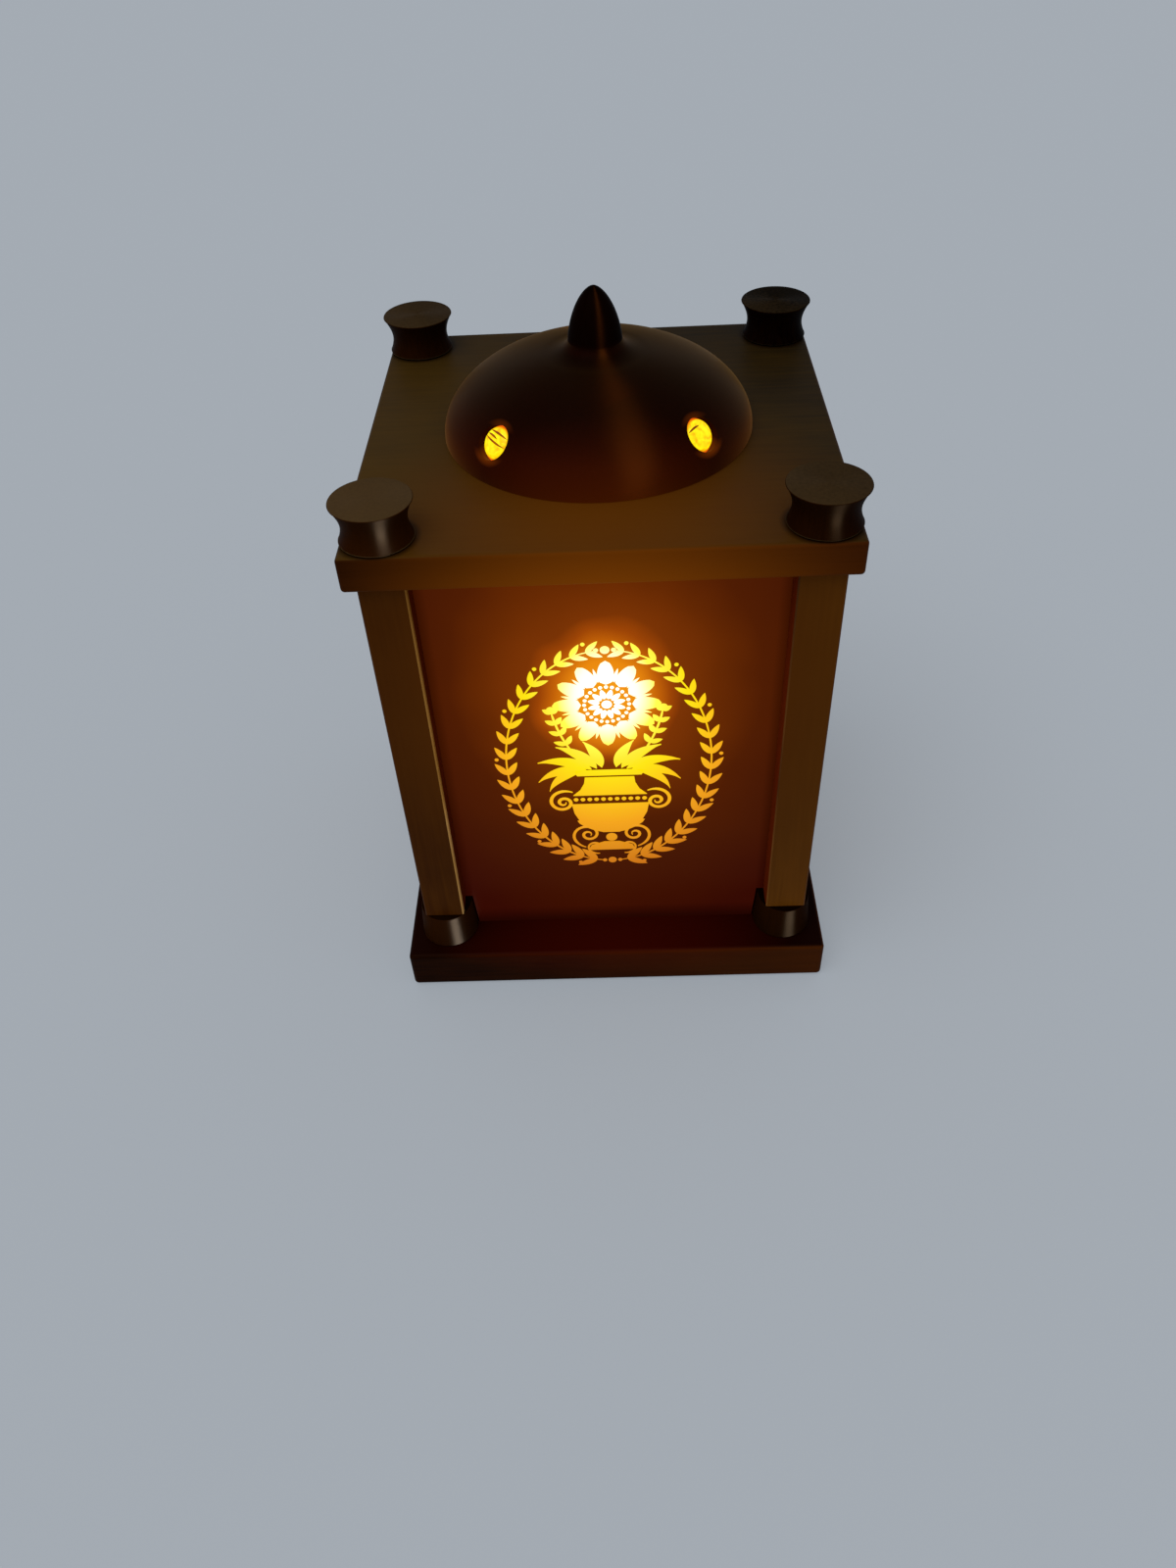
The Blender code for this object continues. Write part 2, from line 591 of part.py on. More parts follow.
def candle_shell_profile():
    """The candle's thin wall: open below, with a rounded rim and a dished top that the flame comes out of."""
    outer = CANDLE_RADIUS
    inner = CANDLE_RADIUS - CANDLE_WALL
    rim = CANDLE_RIM_RADIUS
    top = CANDLE_HEIGHT
    dish = CANDLE_HEIGHT - CANDLE_DISH_DEPTH
    hole = FLAME_NECK_RADIUS + HOLE_GAP
    profile = [(inner, 0.0), (outer, 0.0)]
    steps = 3
    for step in range(steps + 1):
        angle = math.pi / 2 * step / steps
        profile.append((outer - rim + rim * math.cos(angle), top - rim + rim * math.sin(angle)))
    profile.append((outer - CANDLE_LIP_WIDTH, top - CANDLE_EASE))
    profile.append((outer - CANDLE_DISH_START, dish + CANDLE_EASE))
    profile += [(hole + rim, dish), (hole, dish), (hole, dish - CANDLE_WALL)]
    profile += [(inner - 2 * rim, dish - CANDLE_WALL), (inner, dish - CANDLE_WALL - rim)]
    return profile


def bay_outline(grow):
    """Outline of the battery bay with the ear that its cover's screw goes through."""
    side = BOX_LENGTH_X / 2 + grow
    front = BOX_LENGTH_Y / 2 + grow
    ear = COVER_EAR_WIDTH / 2 + grow
    back = BOX_LENGTH_Y / 2 + COVER_EAR + grow
    return [(-side, -front), (side, -front), (side, front), (ear, front), (ear, back), (-ear, back),
            (-ear, front), (-side, front)]


def make_candle_case(wax, dark, steel, parent):
    """The candle's shell, its bottom disc, and the screwed cover of the battery bay."""
    shell = lathe("candle_shell", candle_shell_profile(), TURNED_SIDES)
    put("candle_shell", shell, wax, (0, 0, CANDLE_Z), parent=parent)

    radius = CANDLE_RADIUS - CANDLE_WALL - GAP
    disc = lathe("candle_bottom", rod_profile(radius, BOTTOM_THICKNESS), TURNED_SIDES)
    bottom = put("candle_bottom", disc, dark, (0, 0, BOTTOM_Z), parent=parent)
    bay = prism("bay", bay_outline(GAP), -BOTTOM_THICKNESS, 2 * BOTTOM_THICKNESS)
    cut(bottom, cutter("bay_cutter", bay, (0, 0, BOTTOM_Z)))
    slot_x = (KNOB_LENGTH + SWITCH_TRAVEL) / 2 + GAP
    slot_y = KNOB_WIDTH / 2 + GAP
    slot = block("slot", (-slot_x, -slot_y, -BOTTOM_THICKNESS), (slot_x, slot_y, 2 * BOTTOM_THICKNESS))
    cut(bottom, cutter("slot_cutter", slot, (0, -SWITCH_PLACE, BOTTOM_Z)))

    cover = prism("battery_cover", bay_outline(0.0), 0, COVER_THICKNESS)
    cover = put("battery_cover", cover, dark, (0, 0, BOTTOM_Z), parent=parent)
    head = SMALL_HEAD_RADIUS + HOLE_GAP
    hole = [(0.0, -COVER_THICKNESS), (head, -COVER_THICKNESS), (head, 0.0)]
    hole += [(SMALL_SCREW_RADIUS + HOLE_GAP, SMALL_HEAD_HEIGHT)]
    hole += [(SMALL_SCREW_RADIUS + HOLE_GAP, 2 * COVER_THICKNESS), (0.0, 2 * COVER_THICKNESS)]
    place = (0, COVER_SCREW_Y, BOTTOM_Z)
    cut(cover, cutter("cover_hole_cutter", lathe("cover hole", hole, TINY_SIDES), place))
    screw = screw_profile(SMALL_SCREW_RADIUS, SMALL_HEAD_RADIUS, SMALL_HEAD_HEIGHT, SMALL_SCREW_LENGTH)
    put("cover_screw", lathe("cover_screw", screw, TINY_SIDES), steel, place, parent=parent)


def battery_places(height):
    """The batteries' axes, side by side."""
    first = -BATTERY_SPACING * (BATTERY_COUNT - 1) / 2
    return [(first + BATTERY_SPACING * number, 0.0, height) for number in range(BATTERY_COUNT)]


def make_power(dark, steel, label, parent):
    """The battery box with its screw boss, the batteries, and the contacts over and under them."""
    side = BOX_LENGTH_X / 2
    front = BOX_LENGTH_Y / 2
    wall = BOX_WALL
    box = block("battery_box", (-side - wall, -front - wall, BOX_Z), (side + wall, front + wall, BOX_TOP))
    box = put("battery_box", box, dark, parent=parent)
    box.location = -parent.location
    ear = COVER_EAR_WIDTH / 2
    low = BOTTOM_Z + COVER_THICKNESS + GAP
    high = BOTTOM_Z + SMALL_SCREW_LENGTH + BOX_WALL
    boss = cutter("boss_guide", block("boss", (-ear, front + wall / 2, low), (ear, front + COVER_EAR, high)))
    join = box.modifiers.new("boss", "BOOLEAN")
    join.operation = "UNION"
    join.solver = "EXACT"
    join.object = boss
    inside = block("inside", (-side, -front, BOX_Z - wall), (side, front, BOX_TOP - wall))
    cut(box, cutter("box_cutter", inside))
    reach = SMALL_SCREW_LENGTH + HOLE_GAP
    hole = lathe("boss hole", rod_profile(SMALL_SCREW_RADIUS + HOLE_GAP, reach), TINY_SIDES)
    cut(box, cutter("boss_hole_cutter", hole, (0, COVER_SCREW_Y, BOTTOM_Z)))

    nub = BATTERY_LENGTH + BATTERY_NUB_HEIGHT
    profile = [(0.0, 0.0), (BATTERY_RADIUS, 0.0), (BATTERY_RADIUS, BATTERY_LENGTH)]
    profile += [(BATTERY_NUB_RADIUS, BATTERY_LENGTH), (BATTERY_NUB_RADIUS, nub), (0.0, nub)]
    mesh = lathe("battery", profile, SMALL_SIDES)
    for number, place in enumerate(battery_places(BATTERY_Z), 1):
        put(f"battery_{number}", mesh, label, place, parent=parent)

    reach_x = BATTERY_SPACING * (BATTERY_COUNT - 1) / 2 + CONTACT_RADIUS
    low = BATTERY_TOP + GAP
    plate = block("top_contact", (-reach_x, -CONTACT_RADIUS, 0), (reach_x, CONTACT_RADIUS, CONTACT_THICKNESS))
    put("top_contact", plate, steel, (0, 0, low), parent=parent)
    low = BOTTOM_Z + COVER_THICKNESS + GAP
    springs = put("spring_contact", plate.copy(), steel, (0, 0, low), parent=parent)
    cones = bmesh.new()
    top = CONTACT_THICKNESS + SPRING_PAD_HEIGHT
    half = CONTACT_THICKNESS / 2
    cone = [(0.0, half), (SPRING_FOOT_RADIUS, half), (SPRING_TIP_RADIUS, top), (0.0, top)]
    for place in battery_places(0):
        add_lathe(cones, cone, TINY_SIDES, Matrix.Translation(place))
    guide = cutter("spring_guide", close_mesh(cones, "springs", SHARP_DEG), (0, 0, low))
    join = springs.modifiers.new("springs", "BOOLEAN")
    join.operation = "UNION"
    join.solver = "EXACT"
    join.object = guide


def flame_radius(share):
    """Radius of the teardrop flame at a share of its length."""
    if share < FLAME_WIDEST_SHARE:
        swell = math.sin(math.pi / 2 * share / FLAME_WIDEST_SHARE)
        return FLAME_NECK_RADIUS + (FLAME_RADIUS - FLAME_NECK_RADIUS) * swell
    run = (share - FLAME_WIDEST_SHARE) / (1 - FLAME_WIDEST_SHARE)
    return FLAME_RADIUS * (1 - run ** FLAME_TAPER)


def make_light(clear, green, wax, parent):
    """The circuit board on the battery box, the LED on it, and the hollow flame that the LED lights."""
    leg = LED_LEG_WIDTH / 2 + HOLE_GAP
    board = lathe("circuit_board", rod_profile(BOARD_RADIUS, BOARD_THICKNESS), TURNED_SIDES)
    board = put("circuit_board", board, green, (0, 0, BOARD_Z), parent=parent)
    holes = bmesh.new()
    legs = bmesh.new()
    top = BOARD_THICKNESS + GAP
    for side in (-1, 1):
        x = side * LED_LEG_PITCH / 2
        add_box(holes, (x - leg, -leg, -BOARD_THICKNESS), (x + leg, leg, 2 * BOARD_THICKNESS))
        half = LED_LEG_WIDTH / 2
        add_box(legs, (x - half, -half, 0), (x + half, half, top + LED_RIM_HEIGHT / 2))
    cut(board, cutter("leg_hole_cutter", close_mesh(holes, "leg holes"), (0, 0, BOARD_Z)))

    shoulder = LED_LENGTH - LED_RADIUS
    profile = [(0.0, 0.0), (LED_RIM_RADIUS, 0.0), (LED_RIM_RADIUS, LED_RIM_HEIGHT)]
    profile.append((LED_RADIUS, LED_RIM_HEIGHT))
    steps = 3
    for step in range(steps + 1):
        angle = math.pi / 2 * step / steps
        radius = LED_RADIUS * math.cos(angle) if step < steps else 0.0
        profile.append((radius, shoulder + LED_RADIUS * math.sin(angle)))
    led = put("led", lathe("led", profile, TINY_SIDES), clear, (0, 0, LED_Z), parent=parent)
    guide = cutter("leg_guide", close_mesh(legs, "legs"), (0, 0, BOARD_Z))
    join = led.modifiers.new("legs", "BOOLEAN")
    join.operation = "UNION"
    join.solver = "EXACT"
    join.object = guide

    low = FLANGE_Z
    hollow = LED_RADIUS + FLAME_LED_ROOM
    crown = LED_Z + LED_LENGTH + FLAME_LED_ROOM - low
    neck = DISH_Z - low
    flange = FLAME_NECK_RADIUS + FLAME_FLANGE_REACH
    profile = []
    steps = 2
    for step in range(steps + 1):
        angle = math.pi / 2 * step / steps
        profile.append((hollow * math.sin(angle), crown - hollow * (1 - math.cos(angle))))
    profile += [(hollow, 0.0), (flange, 0.0), (flange, FLAME_FLANGE_THICKNESS)]
    profile.append((FLAME_NECK_RADIUS, FLAME_FLANGE_THICKNESS))
    steps = 9
    for step in range(steps + 1):
        share = step / steps
        radius = flame_radius(share) if step < steps else 0.0
        profile.append((radius, neck + FLAME_LENGTH * share))
    put("flame", lathe("flame", profile, SMALL_SIDES), wax, (0, 0, low), parent=parent)


def make_switch(dark, knob_finish, parent):
    """The slide switch: a housing on the bottom disc, and the T-shaped knob that slides in it."""
    half_x = SWITCH_LENGTH / 2
    half_y = SWITCH_WIDTH / 2
    housing = block("switch_housing", (-half_x, -half_y, 0), (half_x, half_y, SWITCH_HEIGHT))
    place = (0, -SWITCH_PLACE, BOTTOM_TOP + GAP)
    housing = put("switch_housing", housing, dark, place, parent=parent)
    in_x = half_x - SWITCH_WALL
    in_y = half_y - SWITCH_WALL
    inside = block("switch inside", (-in_x, -in_y, -SWITCH_WALL), (in_x, in_y, SWITCH_HEIGHT - SWITCH_WALL))
    cut(housing, cutter("switch_cutter", inside, place))

    stem = KNOB_LENGTH / 2
    foot = stem + KNOB_SHOULDER
    low = -BOTTOM_THICKNESS - KNOB_REACH
    seat = GAP
    top = SWITCH_HEIGHT - SWITCH_WALL - GAP
    outline = [(-stem, low), (stem, low), (stem, seat), (foot, seat), (foot, top), (-foot, top)]
    outline += [(-foot, seat), (-stem, seat)]
    mesh = prism("switch_knob", outline, -KNOB_WIDTH / 2, KNOB_WIDTH / 2)
    mesh.transform(Matrix.Rotation(math.radians(90), 4, "X"))
    put("switch_knob", mesh, knob_finish, (-SWITCH_TRAVEL / 2, -SWITCH_PLACE, BOTTOM_TOP), parent=parent)


def build():
    """Makes every piece."""
    remove_everything()
    wood = material("stained_wood", (0.020, 0.012, 0.007), 0.42)
    beech = material("beech", (0.45, 0.30, 0.17), 0.6)
    steel = material("zinc_steel", (0.55, 0.55, 0.53), 0.35, 1.0)
    sheet = material("amber_sheet", (0.09, 0.024, 0.004), 0.3)
    film = material("amber_film", (0.80, 0.42, 0.02), 0.35)
    wax = material("ivory_plastic", (0.75, 0.66, 0.48), 0.5)
    dark = material("black_plastic", (0.02, 0.02, 0.02), 0.45)
    label = material("battery_sleeve", (0.05, 0.05, 0.055), 0.4)
    green = material("circuit_board", (0.02, 0.12, 0.04), 0.5)
    clear = material("led_resin", (0.85, 0.75, 0.45), 0.15)
    pale = material("pale_plastic", (0.6, 0.6, 0.58), 0.45)
    make_base(wood)
    make_collars(wood)
    make_posts(wood)
    make_roof(wood)
    make_spools(wood)
    make_joinery(beech, steel)
    make_panels(sheet)
    make_dome(wood, film, pivot("cap_lift", (0, 0, ROOF_TOP)))
    candle = pivot("candle_lift", (0, 0, CANDLE_Z))
    make_candle_case(wax, dark, steel, candle)
    make_power(dark, steel, label, candle)
    make_light(clear, green, wax, candle)
    make_switch(dark, pale, candle)


build()
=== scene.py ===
"""The looks of a square wooden lantern with lit amber panels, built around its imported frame.

Metres, +Z up. The front panel faces -Y, and the lantern stands on Z = 0.
"""

from math import acos, atan2, cos, degrees, pi, radians, sin, sqrt, tau

import bmesh
import bpy
from mathutils import Matrix, Vector, noise


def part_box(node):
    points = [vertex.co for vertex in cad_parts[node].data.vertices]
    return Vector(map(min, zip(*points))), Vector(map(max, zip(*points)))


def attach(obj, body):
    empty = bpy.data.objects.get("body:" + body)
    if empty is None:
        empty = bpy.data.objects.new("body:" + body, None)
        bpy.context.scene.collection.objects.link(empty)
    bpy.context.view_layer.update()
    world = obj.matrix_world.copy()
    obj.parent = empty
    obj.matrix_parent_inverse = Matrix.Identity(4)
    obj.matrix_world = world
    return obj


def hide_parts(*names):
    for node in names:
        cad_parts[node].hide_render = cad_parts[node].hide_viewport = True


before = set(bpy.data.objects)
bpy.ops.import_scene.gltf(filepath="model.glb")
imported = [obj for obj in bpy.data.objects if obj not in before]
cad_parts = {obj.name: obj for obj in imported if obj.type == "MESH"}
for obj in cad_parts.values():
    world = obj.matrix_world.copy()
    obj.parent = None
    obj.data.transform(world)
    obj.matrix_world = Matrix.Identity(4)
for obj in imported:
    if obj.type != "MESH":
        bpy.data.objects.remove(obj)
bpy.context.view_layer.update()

MM = 0.001

# Boards, posts and turned pieces, read off the frame
BASE_LOW, BASE_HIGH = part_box("base_plate")
ROOF_LOW, ROOF_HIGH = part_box("roof_plate")
POST_LOW, POST_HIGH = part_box("post_1")
COLLAR_LOW, COLLAR_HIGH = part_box("collar_1")
SPOOL_LOW, SPOOL_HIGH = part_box("spool_1")
DOME_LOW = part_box("dome_cap")[0]
RING_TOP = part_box("dome_ring")[1].z
PANEL_LOW, PANEL_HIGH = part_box("front_panel")
CANDLE_LOW, CANDLE_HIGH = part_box("candle_shell")
CORNER = (POST_HIGH.x - POST_LOW.x) / 2 - POST_HIGH.x
CORNERS = ((-CORNER, -CORNER), (CORNER, -CORNER), (CORNER, CORNER), (-CORNER, CORNER))
SIDES = (("front", 0), ("right", 90), ("back", 180), ("left", 270))

# Sizes that the frame's boxes don't give
CLEARANCE = 0.3 * MM
OVERSHOOT = 10 * MM
ROOF_OPENING_RADIUS = 43 * MM
CANDLE_POCKET_RADIUS = 25.4 * MM
CANDLE_POCKET_DEPTH = 2 * MM
GROOVE_DEPTH = 2.4 * MM
BASE_ROUNDING = 1.8 * MM
ROOF_ROUNDING = 1.4 * MM
POST_BEVEL = 0.5 * MM
POST_END_BEVEL = 0.25 * MM
HIGHLIGHT_STRIP_WIDTH = 2.6 * MM
PANEL_PLANE = abs(PANEL_LOW.y + PANEL_HIGH.y) / 2
PANEL_HALF = (PANEL_HIGH.y - PANEL_LOW.y) / 2
PANEL_FACE = PANEL_PLANE + PANEL_HALF
PANEL_SIGHT = -POST_HIGH.x
DOWEL_RADIUS = 4 * MM
SCREW_RADIUS = 2 * MM
SCREW_HEAD_RADIUS = 4 * MM
SCREW_HEAD_DEPTH = 1 * MM
SCREW_HEAD_HEIGHT = 2.4 * MM
COLLAR_FOOT = 11.7 * MM
COLLAR_NECK = 10.5 * MM
SPOOL_TOP = 13.35 * MM
SPOOL_WAIST = 10.7 * MM
SPOOL_FOOT = 12.2 * MM
SPOOL_WAIST_SHARE = 0.42
DOME_RADIUS = 54.6 * MM
DOME_RISE = 28.2 * MM
DOME_WALL = 5 * MM
FINIAL_RADIUS = 9.4 * MM
FINIAL_START = 29 * MM
FINIAL_TIP = 48.6 * MM
FINIAL_FOOT_REACH = 8.8 * MM
FINIAL_FOOT_RISE = 3 * MM
FINIAL_FOOT_BEND = 0.1
FINIAL_BELLY = 1.8
FINIAL_POINT = 0.6
VENT_RADIUS = 6 * MM
VENT_FLARE = 1.7 * MM
VENT_SEAT = 7.5 * MM
VENT_PLACE = 49 * MM
VENT_RISE_DEG = 35
VENT_HEIGHT = DOME_LOW.z + DOME_RISE * sqrt(1 - (VENT_PLACE / DOME_RADIUS) ** 2)
VENT_LIP = 3.3 * MM
FILM_THICKNESS = 0.8 * MM
FILM_BULGE = 3.1 * MM
CREASE_DEPTH = 0.12 * MM
FOLD_WIDTH = 0.85 * MM
CANDLE_WALL = 1.6 * MM
RIM_SAG = 1.6 * MM
FLAME_NECK = 4.2 * MM

# Folds of each vent's film in mm, down and to the right as seen from outside: start, end and sag
FOLDS = (
    (((-3.4, -3.4), (-2.4, 4.4), 0.3), ((-2.1, -4.0), (-1.2, 1.0), 0.3), ((-1.2, -4.6), (0.6, 4.9), -0.3)),
    (((-2.2, -4.4), (-3.0, 0.4), 0.3),),
    (((-3.4, 1.2), (2.2, -2.9), 0.4), ((-1.0, 3.6), (3.8, 0.2), 0.3)),
    (((-1.6, -3.8), (3.0, 1.0), 0.3),),
)

# Waves of noise per metre: over a film across and along its creases, and round the candle's melted rim
CREASE_WAVES = (900, 350)
RIM_WAVES = 60

# Sides of the round pieces
BIG_ROUND = 144
TURNED_ROUND = 96
SMALL_ROUND = 40

# Where the light behind a panel shows hottest, seen from a little above
HOT_HEIGHT = 142.5 * MM

# The camera as fitted to the photograph: its place, its lean and its focal length in the photograph's pixels
CAMERA_PLACE = (0.00417, -0.38983, 0.40844)
CAMERA_DOWN_DEG = 43.9008
CAMERA_RIGHT_DEG = -2.2213
CAMERA_ROLL_DEG = -3.2545
FOCAL_PX = 1191.75
PHOTO_HEIGHT_PX = 1600

# The stain: width and length of its grain in mm; and painted light, how much lighter the wood gets each way,
# in shares of its tone per metre
GRAIN_WIDTH = 1.111
GRAIN_LENGTH = 22.22
PAINTED_LIGHT_TO_RIGHT = (2.6, 0.0, 0.0)
PAINTED_LIGHT_TO_FRONT_LEFT = (-2.2, -2.2, 0.0)


def linear(code):
    """Turns an sRGB hex colour into linear RGBA."""
    parts = [int(code[i:i + 2], 16) / 255 for i in (1, 3, 5)]
    return tuple(c / 12.92 if c <= 0.04045 else ((c + 0.055) / 1.055) ** 2.4 for c in parts) + (1.0,)


def pattern(size):
    """Scale of a pattern whose features are this many mm across."""
    return 1 / (size * MM)


def plug(tree, node, sockets):
    """Fills a node's sockets, by name or in order, with values, hex colours, outputs or other nodes."""
    for key, value in sockets.items() if isinstance(sockets, dict) else enumerate(sockets):
        if isinstance(value, str):
            value = linear(value)
        if isinstance(value, bpy.types.Node):
            value = next(output for output in value.outputs if output.enabled)
        if isinstance(value, bpy.types.NodeSocket):
            tree.links.new(value, node.inputs[key])
        else:
            node.inputs[key].default_value = value


def add(tree, kind, sockets=(), stops=(), **settings):
    """Adds a node. Stops are a colour ramp's places and colours."""
    node = tree.nodes.new("ShaderNode" + kind)
    for name, value in settings.items():
        setattr(node, name, value)
    if stops:
        ramp = node.color_ramp
        while len(ramp.elements) < len(stops):
            ramp.elements.new(1.0)
        for element, (place, colour) in zip(ramp.elements, stops):
            element.position = place
            element.color = linear(colour)
    plug(tree, node, sockets)
    return node


def start_material(name):
    """Starts a material and gives its tree, its shader and the piece's own coordinates."""
    material = bpy.data.materials.new(name)
    material.use_nodes = True
    tree = material.node_tree
    return material, tree, tree.nodes["Principled BSDF"], add(tree, "TexCoord").outputs["Object"]


def fed(shader, name):
    """The output that already feeds a shader's socket."""
    return shader.inputs[name].links[0].from_socket


def side_place(tree):
    """Object coordinates folded so that all four sides share one: across, outwards, up.

    A face that looks up keeps the front's place, so the light on the roof's top stays at the front.
    """
    source = add(tree, "TexCoord").outputs
    place = add(tree, "SeparateXYZ", [source["Object"]]).outputs
    facing = add(tree, "SeparateXYZ", [source["Normal"]]).outputs["Z"]
    looks_up = add(tree, "MapRange", (facing, 0.3, 0.8, 0.0, 1.0))
    wide = add(tree, "Math", [place["X"]], operation="ABSOLUTE")
    deep = add(tree, "Math", [place["Y"]], operation="ABSOLUTE")
    forward = add(tree, "Math", (place["Y"], -1.0), operation="MULTIPLY")
    across = add(tree, "Math", (wide, deep), operation="MINIMUM")
    outwards = add(tree, "Math", (wide, deep), operation="MAXIMUM")
    across = add(tree, "MapRange", (looks_up, 0.0, 1.0, across, wide))
    outwards = add(tree, "MapRange", (looks_up, 0.0, 1.0, outwards, forward))
    return add(tree, "CombineXYZ", (across, outwards, place["Z"]))


def stained_wood(name, side_tones, top_tones, along="Z", glow=0.0, reach=0.12, lathed=False, sheen=0.04,
                 warm="#331a02"):
    """Hardwood under dark brown satin stain: even, with a faint grain that only the sheen shows.

    Faces that look up get tones of their own, lighter or darker than the sides as the light fell, and the
    wood gets lighter towards the front left on top and on turned sides, and towards the right on other sides:
    painted light. The amber that the lit panels throw on the wood nearest to them is a painted glow.
    A turned piece has fine rings from the lathe, which draw its highlights out along its axis.
    """
    material, tree, shader, place = start_material(f"dark_stained_{name}")
    grain_sizes = [GRAIN_LENGTH if axis == along else GRAIN_WIDTH for axis in "XYZ"]
    grain_place = add(tree, "Mapping", {0: place, "Scale": [pattern(size) for size in grain_sizes]})
    grain = add(tree, "TexNoise", {"Vector": grain_place, "Scale": 1.0, "Detail": 4.0})
    # The stain took unevenly, in clouds about 36 mm wide.
    cloud = add(tree, "TexNoise", {"Vector": place, "Scale": pattern(35.71), "Detail": 3.0})
    calm = add(tree, "MapRange", (cloud, 0.0, 1.0, 0.34, 0.68))
    blend = add(tree, "Math", (grain, 0.30, calm), operation="MULTIPLY_ADD")
    ramps = []
    # Painted light: each tone gets lighter along these ways, on the sides and on top.
    for tones, lighter_way in ((side_tones, PAINTED_LIGHT_TO_FRONT_LEFT if lathed else PAINTED_LIGHT_TO_RIGHT), (top_tones, PAINTED_LIGHT_TO_FRONT_LEFT)):
        lean = add(tree, "VectorMath", (place, lighter_way), operation="DOT_PRODUCT")
        share = add(tree, "Math", (blend, lean), operation="ADD")
        ramps.append(add(tree, "ValToRGB", [share], stops=[(0.35, tones[0]), (1.0, tones[1])]))
    # Painted light and shade: faces that look up take the top tones, lighter or darker than the sides.
    facing = add(tree, "SeparateXYZ", [add(tree, "TexCoord").outputs["Normal"]]).outputs["Z"]
    looks_up = add(tree, "MapRange", (facing, 0.55, 0.97, 0.0, 1.0), interpolation_type="SMOOTHSTEP")
    tone = add(tree, "MixRGB", (looks_up, *ramps))
    if glow:
        hot = (0.0, PANEL_FACE, HOT_HEIGHT)
        away = add(tree, "VectorMath", (side_place(tree), hot), operation="DISTANCE")
        fall = add(tree, "MapRange", (away, reach, 0.0, 0.0, 1.0))
        square = add(tree, "Math", (fall, 2.0), operation="POWER")
        share = add(tree, "MapRange", (looks_up, 0.0, 1.0, glow, 0.55 * glow))
        level = add(tree, "Math", (square, share), operation="MULTIPLY")
        plug(tree, shader, {"Emission Color": "#ff8408", "Emission Strength": level})
        warmth = add(tree, "MapRange", (away, reach, 0.5 * reach, 0.0, 0.9))
        tone = add(tree, "MixRGB", (warmth, tone, warm))
    rough = add(tree, "MapRange", (cloud, 0.3, 0.7, 0.40, 0.50))
    # Fibres stand 0.02 mm under the stain.
    bump = add(tree, "Bump", {"Height": grain, "Distance": 0.02 * MM, "Strength": 0.5})
    plug(tree, shader, {"Base Color": tone, "Roughness": rough, "Specular IOR Level": sheen,
                        "Specular Tint": "#ffd8b0", "Normal": bump})
    if lathed:
        around = add(tree, "Tangent", direction_type="RADIAL", axis="Z")
        plug(tree, shader, {"Tangent": around, "Anisotropic": 0.9, "Anisotropic Rotation": 0.25})
    return material


def roof_stain_painted_shadow():
    """The roof's stain, with a painted shadow that darkens it round each spool's foot."""
    sides, top = ("#1c0700", "#401b04"), ("#1a1206", "#3e2b0b")
    material = stained_wood("roof_board", sides, top, "X", 0.50, 0.115, sheen=0.02)
    tree = material.node_tree
    shader = tree.nodes["Principled BSDF"]
    folded = add(tree, "VectorMath", [add(tree, "TexCoord").outputs["Object"]], operation="ABSOLUTE")
    # Height counts eight times, so that only the board's top darkens and not its edge below the spools.
    tall = add(tree, "VectorMath", (folded, (1.0, 1.0, 8.0)), operation="MULTIPLY")
    spot = (CORNER, CORNER, 8.0 * SPOOL_LOW.z)
    away = add(tree, "VectorMath", (tall, spot), operation="DISTANCE")
    # Painted shadow: within 2.4 mm of each spool's foot the wood darkens nearly to black, and its glow fades.
    clear = add(tree, "MapRange", (away, SPOOL_FOOT, SPOOL_FOOT + 2.4 * MM, 0.15, 1.0))
    tone = add(tree, "MixRGB", (clear, "#0c0300", fed(shader, "Base Color")))
    level = add(tree, "Math", (fed(shader, "Emission Strength"), clear), operation="MULTIPLY")
    plug(tree, shader, {"Base Color": tone, "Emission Strength": level})
    return material


def painted_edge_highlight(name, tones):
    """A painted highlight along a post's corner: the stain painted pale there, brightest near the post's
    foot.
    """
    material, tree, shader, place = start_material(name)
    # The painted highlight varies in patches about 15 mm wide and 60 mm long.
    long_way = add(tree, "Mapping", {0: place, "Scale": [pattern(size) for size in (15.625, 15.625, 62.5)]})
    patch = add(tree, "TexNoise", {"Vector": long_way, "Scale": 1.0, "Detail": 4.0})
    height = add(tree, "SeparateXYZ", [place]).outputs["Z"]
    # Painted highlight: brighter towards the post's foot.
    brighter_low = add(tree, "MapRange", (height, POST_LOW.z, POST_HIGH.z, 0.12, -0.22))
    painted_highlight = add(tree, "Math", (patch, brighter_low), operation="ADD")
    tone = add(tree, "ValToRGB", [painted_highlight], stops=list(zip((0.3, 0.5, 0.7), tones)))
    bump = add(tree, "Bump", {"Height": patch, "Distance": 0.05 * MM})
    plug(tree, shader, {"Base Color": tone, "Roughness": 0.5, "Specular IOR Level": 0.06, "Normal": bump})
    return material


